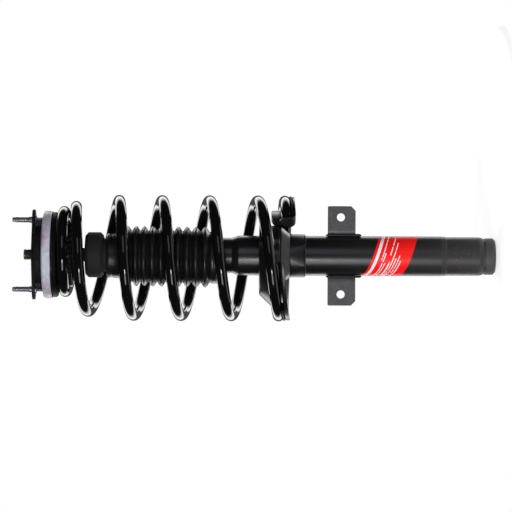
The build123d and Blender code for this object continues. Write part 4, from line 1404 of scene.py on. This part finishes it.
# %% Mount rubber
rubber_low, crown_level = low("mount_rubber"), high("mount_rubber")
plate_low, plate_high = low("mount_plate"), high("mount_plate")
rubber_r = 37.7
core_r, core_top = reach("mount_core"), high("mount_core")
plate_bore = 20.0
block_corners = [
    (core_r, rubber_low, 0.8), (cup_bore, rubber_low, 1.4), (cup_bore, cup_low + 2.5, 0.4),
    (cup_r - 2.5, cup_low + 2.5, 0.4), (cup_r - 2.5, cup_high - 0.6, 0.8),
    (rubber_r, cup_high + 0.4, 0.8), (rubber_r, plate_low, 0.4),
    (plate_bore, plate_low, 0.3), (plate_bore, crown_level - 0.3, 0.3),
    (plate_bore - 1.0, crown_level, 0.6), (17.4, crown_level, 0.8),
    (16.0, crown_level - 1.4, 1.2), (16.0, core_top, 1.0), (core_r, core_top, 0.5),
]


def hollowed(r, z, angle):
    """Six hollows in the block's wall: r dips by 1.6 mm where cos(6 a) is near one."""
    hollow = np.clip(np.cos(6 * angle) * 1.6 - 0.4, 0, 1)
    wall_part = (r > rubber_r - 1.5) & (z > cup_high - 0.2) & (z < plate_low - 0.1)
    return r - np.where(wall_part, 1.6 * hollow, 0), z


turned(
    "mount_rubber_block", block_corners, 1.3, "top_mount", mount_rubber_black, "mount_rubber",
    wave=hollowed, steps=216
)

# %% [markdown]
# ### Threads
# A thread is a turned outline whose radius follows a zigzag that climbs one pitch a turn. The
# pitch divides the turn evenly, so the first and the last column meet.


# %% Threaded bars
def thread_share(z, angle, bottom, top, pitch):
    """Share of a thread's depth that is cut away at a place between two levels.

    With p the fraction of (z - pitch a / 2 pi) / pitch, it is the distance of a blunt zigzag
    from its crest, and it fades in over the first and last turn.
    """
    phase = ((z - pitch * angle / (2 * pi)) / pitch) % 1.0
    zigzag = np.clip(1.25 * np.abs(2 * phase - 1) - 0.125, 0, 1)
    return zigzag * np.clip(np.minimum(z - bottom, top - z) / pitch, 0, 1)


def hexagon(corner, angle):
    """Radius of a hexagon: corner cos(30) / cos(angle from the flat's middle)."""
    return corner * cos(pi / 6) / np.cos((angle % (pi / 3)) - pi / 6)


def threaded(outline, bottom, top, pitch, depth, centre=0.0, steps=64):
    """Lathe whose outer wall has a thread between two levels."""

    def cut(r, z, angle):
        outer = r > 0.6 * outline[:, 0].max()
        return r - np.where(outer, depth * thread_share(z, angle, bottom, top, pitch), 0), z

    return lathe(dense(outline, pitch / 8), centre, cut, steps)


stud_low, stud_top = low("mount_studs"), high("mount_studs")
stud_x = 45.2
stud_r, stud_neck_r, stud_head_r = 4.0, 4.35, 6.4
neck_top = plate_high + 3.9
stud_pitch, rod_pitch = 1.25, 1.5
stud_outline = rounded(
    [
        (0.0, stud_low, 0.01), (stud_head_r, stud_low, 0.5), (stud_head_r, plate_low, 0.2),
        (stud_neck_r, plate_low, 0.1), (stud_neck_r, neck_top, 0.4),
        (stud_r, neck_top + 0.4, 0.2), (stud_r, stud_top - 4.6, 0.2),
        (stud_r - 0.75, stud_top - 3.9, 0.3), (stud_r - 0.75, stud_top - 0.6, 0.4),
        (stud_r - 1.3, stud_top, 0.3), (0.0, stud_top, 0.01),
    ]
)
studs = [
    threaded(stud_outline, neck_top + 0.8, stud_top - 4.8, stud_pitch, 0.62, x)
    for x in (-stud_x, stud_x)
]
build("tower_studs", studs, "top_mount", zinc_plate, ["mount_studs"])

# %% Piston rod
rod_foot, rod_tip = low("piston_rod"), high("piston_rod")
core_low = low("mount_core")
tip_r, spigot_r, socket_r = 7.0, 6.0, 3.4
rod_thread_depth = 0.7
piston_top = high("piston")
rod_outline = rounded(
    [
        (0.0, rod_foot, 0.01), (spigot_r, rod_foot, 0.8), (spigot_r, piston_top, 0.1),
        (rod_r, piston_top, 0.6), (rod_r, core_low, 0.5), (tip_r, core_low, 0.2),
        (tip_r, rod_tip, 1.0), (socket_r, rod_tip, 0.3), (socket_r, rod_tip - 4.0, 0.2),
        (0.0, rod_tip - 4.6, 0.01),
    ]
)


def rod_thread(r, z, angle):
    """Thread on the rod's upper end, cut like the studs' threads, and a hexagonal socket in it."""
    socket = (r < 4.0) & (z > rod_tip - 4.4)
    cut = rod_thread_depth * thread_share(z, angle, core_top, rod_tip - 1.2, rod_pitch)
    return np.where(socket, np.minimum(r, hexagon(socket_r, angle)), r - np.where(r > 5.0, cut, 0)), z


upper = dense(rod_outline, 0.25)
keep = (upper[:, 1] > core_low + 1.0) | (np.arange(len(upper)) % 24 == 0)
corner_points = np.isclose(upper[:, None], rod_outline[None]).all(2).any(1)
build(
    "rod",
    [lathe(upper[keep | corner_points], wave=rod_thread, steps=96)],
    "top_mount",
    rod_finish,
    ["piston_rod"],
)

# %% Rod nut
nut_low, nut_high = low("rod_nut"), high("rod_nut")
nut_corner = 12.1


def hexagon_nut(corner, bottom, top, bore, points=144):
    """Hexagonal nut with both faces turned to a cone.

    Where the height comes within reach of a face, the radius is held to a cone that starts just
    outside the flats.
    """
    a = np.linspace(0, 2 * pi, points, endpoint=False)[:, None]
    flat = hexagon(corner, a)
    tall = top - bottom
    level = np.array([0, 0.0, 0.7, 1.4, tall / 2, tall - 1.4, tall - 0.7, tall, tall, tall - 0.7, 0.7])
    cone = corner * 0.87 + 1.75 * np.minimum(level, tall - level)
    r = np.minimum(flat, cone[None])
    r[:, [0, 8]] = bore + 0.7
    r[:, [9, 10]] = bore
    z = np.broadcast_to(bottom + level, r.shape)
    return shell(np.stack([r * np.cos(a), r * np.sin(a), z], 2))


nut = hexagon_nut(nut_corner, nut_low, nut_high, tip_r)
build("rod_hex_nut", [nut], "top_mount", zinc_plate, ["rod_nut"], 25)

# %% [markdown]
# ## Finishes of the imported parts
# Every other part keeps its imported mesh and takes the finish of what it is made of. The inner
# parts are hidden at rest, but they are real parts, so they get real finishes.

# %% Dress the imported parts
dress = {
    "ear_bracket": bracket_black,
    "mount_plate": mount_black,
    "base_valve": sintered_iron,
    "pressure_tube": dull_steel,
    "rod_guide": sintered_iron,
    "oil_seal": seal_black,
    "gland_cap": dull_steel,
    "bearing_lower_race": bright_steel,
    "bearing_upper_race": bright_steel,
    "bearing_cage": cage_nylon,
    "bearing_balls": ball_steel,
    "mount_core": dull_steel,
    "core_washer": zinc_plate,
    "rebound_ring": dull_steel,
    "piston": sintered_iron,
    "piston_band": band_bronze,
    "piston_shims": bright_steel,
    "piston_nut": dull_steel,
}
for name, finish in dress.items():
    nodes[name].material_slots[0].material = finish
undressed = [n for n, o in nodes.items() if n not in dress and not o.hide_render]
print("dressed", len(dress), "still plain", undressed)
